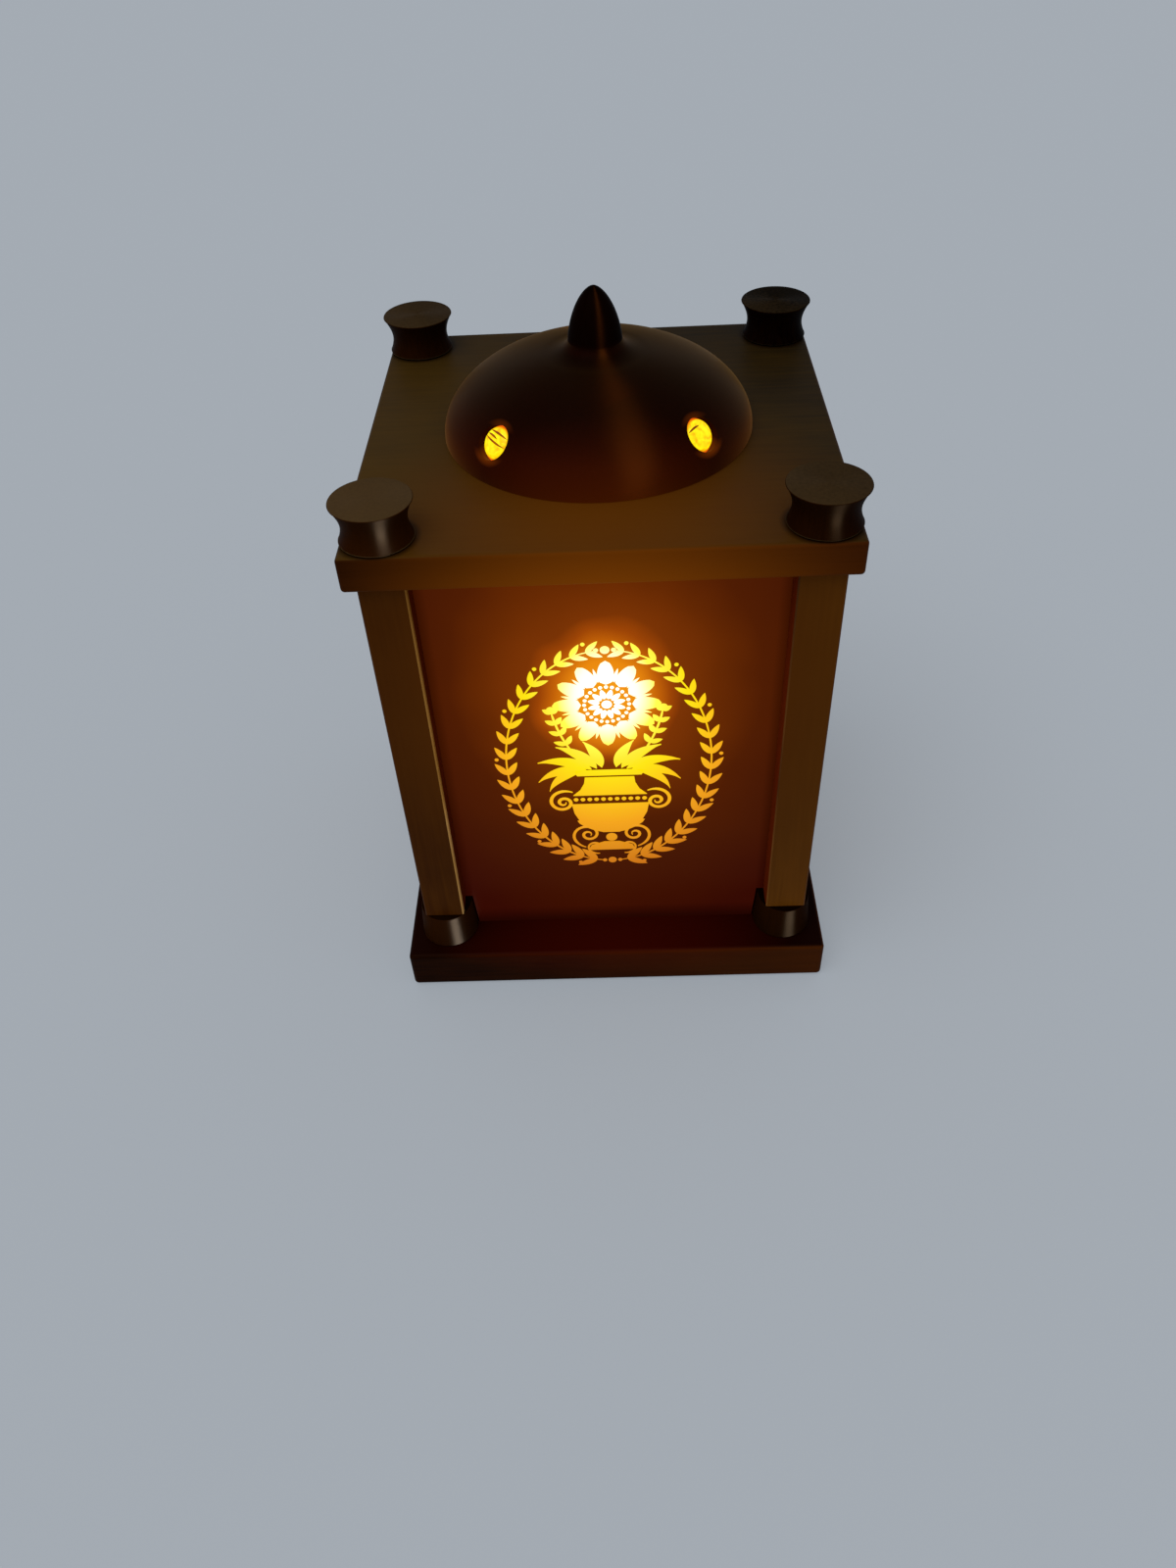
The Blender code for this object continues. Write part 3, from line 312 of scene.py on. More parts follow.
def amber_acrylic():
    """Cast acrylic sheet tinted dark amber: lit from behind, hottest over the light."""
    material, tree, shader, place = start_material("dark_amber_acrylic")
    # The pool of light is taller than wide, and drifts in clouds about 45 mm wide.
    pool = add(tree, "VectorMath", (side_place(tree), (1.06, 1.0, 0.85)), operation="MULTIPLY")
    hot = (0.0, PANEL_PLANE, 0.85 * HOT_HEIGHT)
    away = add(tree, "VectorMath", (pool, hot), operation="DISTANCE")
    cloud = add(tree, "TexNoise", {"Vector": place, "Scale": pattern(45.45), "Detail": 2.0})
    drift = add(tree, "MapRange", (cloud, 0.3, 0.7, -4 * MM, 4 * MM))
    reach = add(tree, "Math", (away, drift), operation="ADD")
    # 140 mm from the hottest spot to the sheet's lower corners.
    share = add(tree, "MapRange", (reach, 0.0, 140 * MM, 0.0, 1.0))
    stops = [(0.0, "#ffa818"), (0.10, "#f08c0e"), (0.145, "#c76406"), (0.175, "#a04604"), (0.205, "#7c3403"),
             (0.31, "#672901"), (0.42, "#501c01"), (0.56, "#451602"), (0.68, "#3e1002"), (0.80, "#360a03")]
    glow = add(tree, "ValToRGB", [share], stops=stops)
    # The posts and the base shade the sheet's last 4 to 7 mm.
    spot = add(tree, "SeparateXYZ", [side_place(tree)]).outputs
    beside = add(tree, "MapRange", (spot["X"], PANEL_SIGHT - 3.8 * MM, PANEL_SIGHT, 0.95, 0.58))
    low = add(tree, "MapRange", (spot["Z"], BASE_HIGH.z + 1 * MM, BASE_HIGH.z + 8 * MM, 0.45, 1.0))
    strength = add(tree, "Math", (beside, low), operation="MULTIPLY")
    # Cast sheet is faintly wavy, 10 mm from crest to crest.
    wave = add(tree, "TexNoise", {"Vector": place, "Scale": pattern(10)})
    bump = add(tree, "Bump", {"Height": wave, "Distance": 0.03 * MM})
    plug(tree, shader, {"Base Color": "#060200", "Roughness": 0.30, "IOR": 1.49, "Specular IOR Level": 0.02,
                        "Emission Color": glow, "Emission Strength": strength, "Normal": bump})
    return material


def lit_cut_lines():
    """Clear acrylic through the tint, where the bare light comes out: white over the light, amber far off."""
    material, tree, shader, _ = start_material("clear_acrylic_lines")
    # The light falls off faster across than down, where the candle itself glows.
    squeezed = add(tree, "VectorMath", (side_place(tree), (1.35, 1.0, 1.0)), operation="MULTIPLY")
    hot = (0.0, PANEL_PLANE, HOT_HEIGHT)
    away = add(tree, "VectorMath", (squeezed, hot), operation="DISTANCE")
    share = add(tree, "MapRange", (away, 0.0, 90 * MM, 0.0, 1.0))
    stops = [(0.0, "#fffff4"), (0.17, "#fffbd2"), (0.27, "#fff24a"), (0.42, "#ffe606"), (0.54, "#fdcc0c"),
             (0.72, "#f2a414"), (1.0, "#c87212")]
    glow = add(tree, "ValToRGB", [share], stops=stops)
    strength = add(tree, "MapRange", (share, 0.0, 0.35, 1.8, 1.0))
    plug(tree, shader, {"Base Color": "#3a1c08", "Roughness": 0.35, "Specular IOR Level": 0.1,
                        "Emission Color": glow, "Emission Strength": strength})
    return material


def from_vent(tree):
    """Distance from the nearest vent's middle. The four lie alike, so the coordinates are folded onto one."""
    folded = add(tree, "VectorMath", [add(tree, "TexCoord").outputs["Object"]], operation="ABSOLUTE")
    middle = (VENT_PLACE / sqrt(2), VENT_PLACE / sqrt(2), VENT_HEIGHT)
    return add(tree, "VectorMath", (folded, middle), operation="DISTANCE")


def crinkled_film():
    """Thin amber polyester film, pressed in from behind and creased, with the light right behind it."""
    material, tree, shader, place = start_material("creased_amber_film")
    # Creases are about 2.4 mm apart and 0.2 mm deep.
    patch = add(tree, "TexNoise", {"Vector": place, "Scale": pattern(2.381), "Detail": 3.0,
                                   "Distortion": 0.8})
    body = add(tree, "ValToRGB", [patch], stops=[(0.32, "#f0b408"), (0.48, "#fce00a"), (0.66, "#fff814")])
    # Bent down at its rim, the film is seen edge-on and lets less light through.
    rim = add(tree, "MapRange", (from_vent(tree), 5 * MM, 6 * MM, 0.0, 1.0))
    glow = add(tree, "MixRGB", (rim, body, "#e0560a"))
    bump = add(tree, "Bump", {"Height": patch, "Distance": 0.2 * MM})
    plug(tree, shader, {"Base Color": "#6a4208", "Roughness": 0.25, "Specular IOR Level": 0.1,
                        "Emission Color": glow, "Emission Strength": 1.05, "Normal": bump})
    return material


def film_fold():
    """The same film doubled over on itself in a fold, so less light comes through, in spots 1.4 mm wide."""
    material, tree, shader, place = start_material("folded_amber_film")
    patch = add(tree, "TexNoise", {"Vector": place, "Scale": pattern(1.4286)})
    glow = add(tree, "ValToRGB", [patch], stops=[(0.35, "#6a1c02"), (0.7, "#b04c04")])
    plug(tree, shader, {"Base Color": "#401c04", "Roughness": 0.3, "Specular IOR Level": 0.1,
                        "Emission Color": glow, "Emission Strength": 0.9})
    return material


def dome_wood(name, bloom, sheen):
    """The turned dome's stain, with the upper and lower lips of its vents lit by the film behind them.

    The sanded bowl has a dusty tan bloom at a glancing angle and the polished finial has none. The finial and
    the bowl round its foot are painted near black, and the bowl's tops darker than its sides: painted shade.
    """
    # Painted light and shade: the bowl's tops are painted darker than its sides.
    tones = ("#0c0100", "#240501"), ("#040000", "#100200")
    material = stained_wood(name, *tones, glow=0.36, reach=0.096, lathed=True, sheen=sheen, warm="#380c01")
    tree = material.node_tree
    shader = tree.nodes["Principled BSDF"]
    height = add(tree, "SeparateXYZ", [add(tree, "TexCoord").outputs["Object"]]).outputs["Z"]
    mouth = add(tree, "MapRange", (from_vent(tree), 8.4 * MM, 6.4 * MM, 0.0, 0.085))
    from_middle = add(tree, "Math", (height, VENT_HEIGHT), operation="SUBTRACT")
    apart = add(tree, "Math", [from_middle], operation="ABSOLUTE")
    lips = add(tree, "MapRange", (apart, 3.0 * MM, 5.2 * MM, 0.0, 1.0))
    lit = add(tree, "Math", (mouth, lips, fed(shader, "Emission Strength")), operation="MULTIPLY_ADD")
    top = DOME_LOW.z + DOME_RISE
    # Painted shade: from just under the bowl's top up the finial, the wood darkens to near black.
    painted_dark_top = add(tree, "MapRange", (height, top - 0.1 * DOME_RISE, top + 0.15 * DOME_RISE, 0.0, 0.85))
    tone = add(tree, "MixRGB", (painted_dark_top, fed(shader, "Base Color"), "#030100"))
    plug(tree, shader, {"Base Color": tone, "Emission Color": "#ff7404", "Emission Strength": lit,
                        "Sheen Weight": bloom, "Sheen Roughness": 0.36, "Sheen Tint": "#c89850"})
    return material


def moulded(name, colour, spread, roughness, texture, depth, glow=("#ffffff", 0.0)):
    """Injection-moulded plastic: an even colour, a fine spark-eroded or polished skin, its texture in mm."""
    material, tree, shader, place = start_material(name)
    skin = add(tree, "TexNoise", {"Vector": place, "Scale": pattern(texture), "Detail": 3.0})
    tone = add(tree, "ValToRGB", [skin], stops=[(0.3, colour), (0.7, spread)])
    rough = add(tree, "MapRange", (skin, 0.2, 0.8, roughness - 0.05, roughness + 0.05))
    bump = add(tree, "Bump", {"Height": skin, "Distance": depth * MM})
    plug(tree, shader, {"Base Color": tone, "Roughness": rough, "Normal": bump,
                        "Emission Color": glow[0], "Emission Strength": glow[1]})
    return material


def plated_steel():
    """Zinc-plated steel: bright, a little cloudy in spots 1.4 mm wide."""
    material, tree, shader, place = start_material("zinc_plated_steel")
    cloud = add(tree, "TexNoise", {"Vector": place, "Scale": pattern(1.4286), "Detail": 3.0})
    tone = add(tree, "ValToRGB", [cloud], stops=[(0.3, "#a8a9a6"), (0.7, "#c9cac6")])
    rough = add(tree, "MapRange", (cloud, 0.3, 0.7, 0.28, 0.42))
    plug(tree, shader, {"Base Color": tone, "Roughness": rough, "Metallic": 1.0})
    return material


def beech():
    """Raw turned beech: pink-beige with dark flecks 0.6 mm wide and 4.5 mm long along the grain."""
    material, tree, shader, place = start_material("raw_beech")
    along = add(tree, "Mapping", {0: place, "Scale": [pattern(size) for size in (0.625, 0.625, 4.545)]})
    fleck = add(tree, "TexNoise", {"Vector": along, "Scale": 1.0, "Detail": 3.0})
    tone = add(tree, "ValToRGB", [fleck], stops=[(0.3, "#a9835c"), (0.55, "#c9a47a"), (0.8, "#d6b58c")])
    plug(tree, shader, {"Base Color": tone, "Roughness": 0.65})
    return material


def new_object(name, data):
    """Links a mesh, lamp or camera as an object."""
    item = bpy.data.objects.new(name, data)
    bpy.context.scene.collection.objects.link(item)
    return item


def close_mesh(work, name, smooth_deg=32):
    """Turns bmesh geometry into a smooth-shaded mesh with outward faces and crisp corners."""
    bmesh.ops.remove_doubles(work, verts=work.verts, dist=1e-7)
    bmesh.ops.recalc_face_normals(work, faces=work.faces)
    mesh = bpy.data.meshes.new(name)
    work.to_mesh(mesh)
    work.free()
    mesh.shade_smooth()
    mesh.set_sharp_from_angle(angle=radians(smooth_deg))
    return mesh


def add_turned(work, profile, sides, place=Matrix()):
    """Spins a profile of (radius, height) points about Z, closed or ending on the axis, as clean quads."""
    rings = []
    for radius, height in profile:
        if radius < 1e-9:
            rings.append([work.verts.new(place @ Vector((0, 0, height)))])
            continue
        ring = []
        for side in range(sides):
            angle = tau * side / sides
            ring.append(work.verts.new(place @ Vector((radius * cos(angle), radius * sin(angle), height))))
        rings.append(ring)
    pairs = list(zip(rings, rings[1:]))
    if len(rings[0]) > 1 or len(rings[-1]) > 1:
        pairs.append((rings[-1], rings[0]))
    for low, high in pairs:
        for side in range(sides):
            after = (side + 1) % sides
            corners = ((low, side), (low, after), (high, after), (high, side))
            unique = list(dict.fromkeys(ring[k % len(ring)] for ring, k in corners))
            if len(unique) > 2:
                work.faces.new(unique)


def skin(work, rows):
    """Covers rows of vertices with faces, and gives them: the two ends, then the sides."""
    faces = [work.faces.new(rows[0]), work.faces.new(rows[-1])]
    for one, two in zip(rows, rows[1:]):
        for k in range(len(one)):
            after = (k + 1) % len(one)
            faces.append(work.faces.new((one[k], one[after], two[after], two[k])))
    return faces


def turned(profile, sides, spots=((0, 0),)):
    """Turned geometry on upright axes: the middle one, or those at spots such as the four corners."""
    work = bmesh.new()
    for x, y in spots:
        add_turned(work, profile, sides, Matrix.Translation((x, y, 0)))
    return work


def point_at(spot, angle, distance):
    """The point at a distance from a spot, at an angle."""
    return spot[0] + distance * cos(angle), spot[1] + distance * sin(angle)


def arc(centre, radius, start_deg, end_deg, steps):
    """Points of an arc."""
    angles = [radians(start_deg + (end_deg - start_deg) * step / steps) for step in range(steps + 1)]
    return [point_at(centre, angle, radius) for angle in angles]


def plain_block(work, low, high):
    """Adds a block."""
    size = Vector(high) - Vector(low)
    place = Matrix.Translation((Vector(high) + Vector(low)) / 2) @ Matrix.Diagonal((*size, 1.0))
    bmesh.ops.create_cube(work, size=1.0, matrix=place)


def rounded_block(name, low, high, radius):
    """A board with all its edges rounded over."""
    work = bmesh.new()
    plain_block(work, low, high)
    bmesh.ops.bevel(work, geom=list(work.edges), offset=radius, segments=5, profile=0.5, affect="EDGES")
    return new_object(name, close_mesh(work, name))


def carve(item, *works):
    """Cuts shapes out of a piece for good, then sets its shading straight."""
    tools = []
    for number, work in enumerate(works):
        tool = new_object(f"{item.name}_cut_{number}", close_mesh(work, "cut"))
        step = item.modifiers.new("cut", "BOOLEAN")
        step.operation = "DIFFERENCE"
        step.solver = "EXACT"
        step.object = tool
        tools.append(tool)
    graph = bpy.context.evaluated_depsgraph_get()
    mesh = bpy.data.meshes.new_from_object(item.evaluated_get(graph))
    item.modifiers.clear()
    item.data = mesh
    for tool in tools:
        bpy.data.objects.remove(tool)
    mesh.shade_smooth()
    mesh.set_sharp_from_angle(angle=radians(32))


def even_shading(item):
    """Keeps the broad faces flat in the shading beside their rounded edges."""
    step = item.modifiers.new("even shading", "WEIGHTED_NORMAL")
    step.keep_sharp = True


def settle(item, body, slot, materials, *nodes):
    """Gives a piece its materials and body, and the frame's nodes that it stands for."""
    for material in materials:
        item.data.materials.append(material)
    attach(item, body)
    if nodes:
        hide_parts(*nodes)


def rod(radius, low, high):
    """Outline of a plain round rod."""
    return [(0.0, low), (radius, low), (radius, high), (0.0, high)]


def cut_grooves(board, low, high):
    """Cuts the square of grooves that the panels' edges stand in, a pair of sides at a time."""
    half = PANEL_HALF + CLEARANCE
    far = PANEL_PLANE + half
    for turn in (0, 90):
        slots = bmesh.new()
        for side in (-1, 1):
            middle = side * PANEL_PLANE
            plain_block(slots, (-far, middle - half, low), (far, middle + half, high))
        bmesh.ops.rotate(slots, verts=slots.verts, matrix=Matrix.Rotation(radians(turn), 3, "Z"))
        carve(board, slots)


def make_boards(base_wood, roof_wood):
    """The base and the roof, with their grooves, holes and pockets."""
    base = rounded_block("base_board", BASE_LOW, BASE_HIGH, BASE_ROUNDING)
    top = BASE_HIGH.z
    clear = SCREW_RADIUS + CLEARANCE
    head = SCREW_HEAD_RADIUS + CLEARANCE
    sink = [(0.0, -top), (head, -top), (head, SCREW_HEAD_DEPTH - CLEARANCE),
            (clear, SCREW_HEAD_DEPTH + SCREW_HEAD_HEIGHT), (clear, 2 * top), (0.0, 2 * top)]
    pocket = turned(rod(CANDLE_POCKET_RADIUS, top - CANDLE_POCKET_DEPTH, 2 * top), TURNED_ROUND)
    carve(base, pocket, turned(sink, SMALL_ROUND, CORNERS))
    cut_grooves(base, top - GROOVE_DEPTH, 2 * top)
    even_shading(base)
    settle(base, "lantern", "stained_wood", [base_wood], "base_plate")

    roof = rounded_block("roof_board", ROOF_LOW, ROOF_HIGH, ROOF_ROUNDING)
    under, over = ROOF_LOW.z - OVERSHOOT, ROOF_HIGH.z + OVERSHOOT
    opening = turned(rod(ROOF_OPENING_RADIUS, under, over), BIG_ROUND)
    carve(roof, opening, turned(rod(DOWEL_RADIUS + CLEARANCE, under, over), SMALL_ROUND, CORNERS))
    cut_grooves(roof, under, ROOF_LOW.z + GROOVE_DEPTH)
    even_shading(roof)
    settle(roof, "lantern", "stained_wood", [roof_wood], "roof_plate")


def post_outline():
    """Cross-section of the front left post, its corners eased and its two inner faces grooved."""
    half = (POST_HIGH.x - POST_LOW.x) / 2
    bevel = POST_BEVEL
    # Where the strip beside the chamfer ends, which carries painted highlight or painted shade.
    painted_highlight = -half + HIGHLIGHT_STRIP_WIDTH
    near = CORNER - PANEL_PLANE - PANEL_HALF - CLEARANCE
    far = CORNER - PANEL_PLANE + PANEL_HALF + CLEARANCE
    floor = half - GROOVE_DEPTH
    line = [(-half + bevel, -half), (half - bevel, -half), (half, -half + bevel), (half, painted_highlight), (half, near)]
    line += [(floor, near), (floor, far), (half, far), (half, half - bevel)]
    return line + [(y, x) for x, y in reversed(line)]


# Faces of a post's outline by their number: the inner chamfers, which carry a painted highlight, the strips
# beside them, painted as highlight on the front left post and as shade on the others, and the strips between
# those and the panels, painted as shade
HIGHLIGHT_FACES = (1, 15)
CORNER_FACES = (2, 14)
SHADED_FACES = (3, 13)


def make_posts(wood, shaded, edges):
    """The four corner posts. A painted highlight runs bright along the front left post's inner corner and
    faint along the others' inner chamfers; the strips beside the panels carry painted shade.
    """
    outline = post_outline()
    for number, (x, y) in enumerate(CORNERS, 1):
        work = bmesh.new()
        rings = [[work.verts.new((px, py, z)) for px, py in outline] for z in (POST_LOW.z, POST_HIGH.z)]
        for step, face in enumerate(skin(work, rings)[2:]):
            if step in HIGHLIGHT_FACES or (number == 1 and step in CORNER_FACES):
                face.material_index = 1
            elif step in CORNER_FACES + SHADED_FACES:
                face.material_index = 2
        ends = [edge for edge in work.edges if abs(edge.verts[0].co.z - edge.verts[1].co.z) < 1e-9]
        bmesh.ops.bevel(work, geom=ends, offset=POST_END_BEVEL, segments=1, affect="EDGES")
        spot = Matrix.Translation((x, y, 0)) @ Matrix.Rotation(radians(90 * (number - 1)), 4, "Z")
        bmesh.ops.transform(work, matrix=spot, verts=work.verts)
        post = new_object(f"corner_post_{number}", close_mesh(work, "post"))
        edge = edges[min(number, len(edges)) - 1]
        settle(post, "lantern", "stained_wood", [wood, edge, shaded], f"post_{number}")


def spool_radius(share):
    """Radius of a spool at a share of its height: two half waves that meet at the waist."""
    if share < SPOOL_WAIST_SHARE:
        end, run = SPOOL_FOOT, 1 - share / SPOOL_WAIST_SHARE
    else:
        end, run = SPOOL_TOP, (share - SPOOL_WAIST_SHARE) / (1 - SPOOL_WAIST_SHARE)
    return SPOOL_WAIST + (end - SPOOL_WAIST) * (1 - cos(run * pi / 2))


def make_turnings(collar_wood, spool_wood, front_groups):
    """The collars under the posts and the spools over them."""
    edge = 0.4 * MM
    height = COLLAR_HIGH.z - COLLAR_LOW.z
    bore = SCREW_RADIUS + CLEARANCE
    profile = [(bore, 0.0)] + arc((COLLAR_FOOT - edge, edge), edge, -90, 0, 4)
    profile += arc((COLLAR_NECK - edge, height - edge), edge, 0, 90, 4) + [(bore, height)]
    collar = close_mesh(turned(profile, TURNED_ROUND), "collar")

    height = SPOOL_HIGH.z - SPOOL_LOW.z
    bore = DOWEL_RADIUS + CLEARANCE
    depth = 8.3 * MM
    profile = [(0.0, depth), (bore, depth), (bore, 0.0)] + arc((SPOOL_FOOT - edge, edge), edge, -90, -10, 3)
    steps = 28
    for step in range(steps + 1):
        level = edge + (height - 2 * edge) * step / steps
        profile.append((spool_radius(level / height), level))
    profile += arc((SPOOL_TOP - edge, height - edge), edge, 10, 90, 4) + [(0.0, height)]
    spool = close_mesh(turned(profile, TURNED_ROUND), "spool")
    for number, (x, y) in enumerate(CORNERS, 1):
        for kind, mesh, low, wood in (("collar", collar, COLLAR_LOW.z, collar_wood),
                                      ("spool", spool, SPOOL_LOW.z, spool_wood)):
            item = new_object(f"turned_{kind}_{number}", mesh.copy())
            item.data.transform(Matrix.Translation((x, y, low)))
            settle(item, "lantern", "stained_wood", [wood], f"{kind}_{number}")
            if number <= len(front_groups):
                front_groups[number - 1].objects.link(item)


def finial_radius(height):
    """Radius of the bullet-shaped finial at a height over the roof."""
    share = (height - FINIAL_START) / (FINIAL_TIP - FINIAL_START)
    return FINIAL_RADIUS * (1 - share ** FINIAL_BELLY) ** FINIAL_POINT


def dome_outline():
    """The dome's outer line from its rim to the finial's tip."""
    last = acos((FINIAL_RADIUS + FINIAL_FOOT_REACH) / DOME_RADIUS)
    line = [(DOME_RADIUS * cos(last * t / 40), DOME_RISE * sin(last * t / 40)) for t in range(41)]
    start = Vector(line[-1])
    top = FINIAL_START + FINIAL_FOOT_RISE
    end = Vector((finial_radius(top), top))
    bend = Vector((end.x, start.y + (start.x - end.x) * FINIAL_FOOT_BEND))
    for step in range(1, 17):
        t = step / 16
        line.append(tuple(start * (1 - t) ** 2 + bend * 2 * t * (1 - t) + end * t ** 2))
    for step in range(1, 28):
        height = top + (FINIAL_TIP - top) * sin(step / 28 * pi / 2)
        line.append((finial_radius(height), height))
    return line + [(0.0, FINIAL_TIP)]


def vent_places():
    """Each vent's own frame on the dome's face, its Z axis outwards along the bore."""
    tilt = Matrix.Rotation(radians(90 - VENT_RISE_DEG), 4, "Y")
    spots = []
    for quarter in range(4):
        spin = Matrix.Rotation(radians(225 + 90 * quarter), 4, "Z")
        spots.append(spin @ Matrix.Translation((VENT_PLACE, 0, VENT_HEIGHT)) @ tilt)
    return spots


def add_fold(work, surface, start, end, sag, width):
    """Adds one raised fold over a film: a thin bent ridge, tapered to both ends, in the second material."""
    steps = 12
    rows = []
    start, end = Vector(start), Vector(end)
    run = (end - start).normalized()
    side = Vector((-run.y, run.x))
    for step in range(steps + 1):
        t = step / steps
        middle = start.lerp(end, t) + side * sag * sin(pi * t)
        half = width / 2 * max(0.15, sin(pi * t) ** 0.6)
        row = []
        for across, rise in ((-half, -0.1 * MM), (0.0, half), (half, -0.1 * MM)):
            spot = middle + side * across
            row.append(work.verts.new((spot.x, spot.y, surface(spot.length) + rise)))
        rows.append(row)
    for face in skin(work, rows):
        face.material_index = 1


def make_dome(bowl_wood, finial_wood, film, fold, group):
    """The bell dome with its finial, the trumpet mouths of its vents, and the films behind them."""
    inner_across = DOME_RADIUS - DOME_WALL
    inner_up = DOME_RISE - DOME_WALL
    rebate = RING_TOP - DOME_LOW.z + CLEARANCE
    seat = inner_across * sqrt(1 - (rebate / inner_up) ** 2)
    profile = [(0.0, inner_up)]
    for step in range(1, 29):
        angle = acos(rebate / inner_up) * step / 28
        profile.append((inner_across * sin(angle), inner_up * cos(angle)))
    profile += [(seat, 0.0)] + dome_outline()
    lifted = [(radius, height + DOME_LOW.z) for radius, height in profile]
    dome = new_object("bell_dome", close_mesh(turned(lifted, BIG_ROUND), "dome"))

    past = 2 * DOME_WALL
    mouth = [(0.0, -past), (VENT_SEAT, -past), (VENT_SEAT, -VENT_LIP), (VENT_RADIUS, -VENT_LIP)]
    for step in range(9):
        angle = pi / 2 * step / 8
        reach = VENT_FLARE * (1 - cos(angle))
        mouth.append((VENT_RADIUS + reach, -VENT_FLARE * 0.6 + VENT_FLARE * 1.6 * sin(angle)))
    mouth += [(VENT_RADIUS + VENT_FLARE, past), (0.0, past)]
    bores = bmesh.new()
    for spot in vent_places():
        add_turned(bores, mouth, SMALL_ROUND + 8, spot)
    carve(dome, bores)
    for face in dome.data.polygons:
        if face.center.z > DOME_LOW.z + FINIAL_START and face.center.xy.length < FINIAL_RADIUS:
            face.material_index = 1
    settle(dome, "cap", "stained_wood", [bowl_wood, finial_wood], "dome_cap")
    group.objects.link(dome)

    radius = VENT_SEAT - CLEARANCE
    top = -VENT_LIP - CLEARANCE
    crown = VENT_RADIUS - CLEARANCE
    for number, spot in enumerate(vent_places(), 1):
        face = [(0.0, top - FILM_THICKNESS), (radius, top - FILM_THICKNESS), (radius, top), (crown, top)]
        # Pressed in from behind, the film fills the bore like a shallow cup, nearly flush with the dome.
        for ring in range(1, 16):
            angle = pi / 2 * ring / 16
            face.append((crown * sqrt(cos(angle)), top + FILM_BULGE * sin(angle)))
        face.append((0.0, top + FILM_BULGE))
        work = turned(face, SMALL_ROUND + 8)
        for vert in work.verts:
            if vert.co.z > top + FILM_BULGE / 4:
                across, along = vert.co.x * CREASE_WAVES[0], vert.co.y * CREASE_WAVES[1]
                crease = noise.noise(Vector((across, along, number * 3.1)))
                vert.co.z -= CREASE_DEPTH * abs(crease)
        for first, last, sag in FOLDS[number - 1]:
            add_fold(work, lambda reach: top + FILM_BULGE * sqrt(max(0.0, 1 - (reach / crown) ** 4)),
                     [v * MM for v in first], [v * MM for v in last], sag * MM, FOLD_WIDTH)
        bmesh.ops.transform(work, matrix=spot, verts=work.verts)
        item = new_object(f"vent_amber_film_{number}", close_mesh(work, "film", 60))
        settle(item, "cap", "amber_film", [film, fold], f"vent_film_{number}")


def add_ribbon(work, points, width, height, leaf=False):
    """Adds a low ridge along (x, z) points: a line with pointed ends, or a bent leaf."""
    last = len(points) - 1
    rows = []
    for step, (x, z) in enumerate(points):
        before, after = points[max(0, step - 1)], points[min(last, step + 1)]
        run = Vector((after[0] - before[0], after[1] - before[1])).normalized()
        t = step / last
        share = max(0.06, sin(pi * t ** 0.75)) if leaf else min(1.0, 0.25 + 6.0 * min(t, 1 - t))
        row = []
        for across, rise in ((-0.5, 0.0), (-0.28, 1.0), (0.28, 1.0), (0.5, 0.0)):
            reach = width * across * share
            row.append(work.verts.new((x - run.y * reach, -height * rise, z + run.x * reach)))
        rows.append(row)
    skin(work, rows)


def add_petal(work, root, angle_deg, length, width, height, blunt):
    """Adds a straight leaf or petal that rises to a ridge along its middle; a low blunt value rounds it."""
    angle = radians(angle_deg)
    run = Vector((cos(angle), sin(angle)))
    side = Vector((-run.y, run.x))
    steps = 10
    left, right, ridge = [], [], []
    for step in range(1, steps):
        t = step / steps
        half = width / 2 * sin(pi * t ** 0.8) ** blunt
        middle = Vector(root) + run * length * t
        for line, across, rise in ((left, half, 0.0), (right, -half, 0.0), (ridge, 0.0, height)):
            spot = middle + side * across
            line.append(work.verts.new((spot.x, -rise, spot.y)))
    tail = work.verts.new((root[0], 0, root[1]))
    end = Vector(root) + run * length
    tip = work.verts.new((end.x, 0, end.y))
    for a, b in zip(range(len(ridge) - 1), range(1, len(ridge))):
        work.faces.new((left[a], left[b], ridge[b], ridge[a]))
        work.faces.new((ridge[a], ridge[b], right[b], right[a]))
        work.faces.new((left[a], right[a], right[b], left[b]))
    for point, k in ((tail, 0), (tip, -1)):
        work.faces.new((point, left[k], ridge[k]))
        work.faces.new((point, ridge[k], right[k]))
        work.faces.new((point, right[k], left[k]))


def add_bead(work, centre, radius, height):
    """Adds a low round bead."""
    place = Matrix.Translation((centre[0], 0, centre[1])) @ Matrix.Rotation(radians(90), 4, "X")
    shares = ((0.0, 0.0), (1.0, 0.0), (0.85, 0.6), (0.45, 1.0), (0.0, 1.0))
    add_turned(work, [(radius * out, height * up) for out, up in shares], 14, place)


def add_plate(work, right_side, height):
    """Adds a flat raised shape from its right-hand outline of (half width, z), mirrored to the left."""
    outline = [(x, z) for x, z in right_side] + [(-x, z) for x, z in reversed(right_side) if x > 0]
    skin(work, [[work.verts.new((x, -level, z)) for x, z in outline] for level in (0.0, height)])


def walk(start, length, headings):
    """Points of a path that takes a step of this length along each heading."""
    points = [start]
    for heading in headings:
        points.append(point_at(points[-1], heading, length))
    return points


def spiral(start, heading_deg, first, turns, way):
    """Points of a scroll that winds in from a start: its radius shrinks evenly as it turns."""
    steps = 44
    heading = radians(heading_deg)
    length = tau * turns * first * 0.55 / steps
    headings = []
    for step in range(steps):
        heading += way * length / (first * (1 - 0.86 * step / steps))
        headings.append(heading)
    return walk(start, length, headings)


def bend(start, heading_deg, length, turn_deg):
    """Points of an arc that leaves its start at a heading and turns evenly."""
    steps = 18
    headings = [radians(heading_deg + turn_deg * (step + 0.5) / steps) for step in range(steps)]
    return walk(start, length / steps, headings)


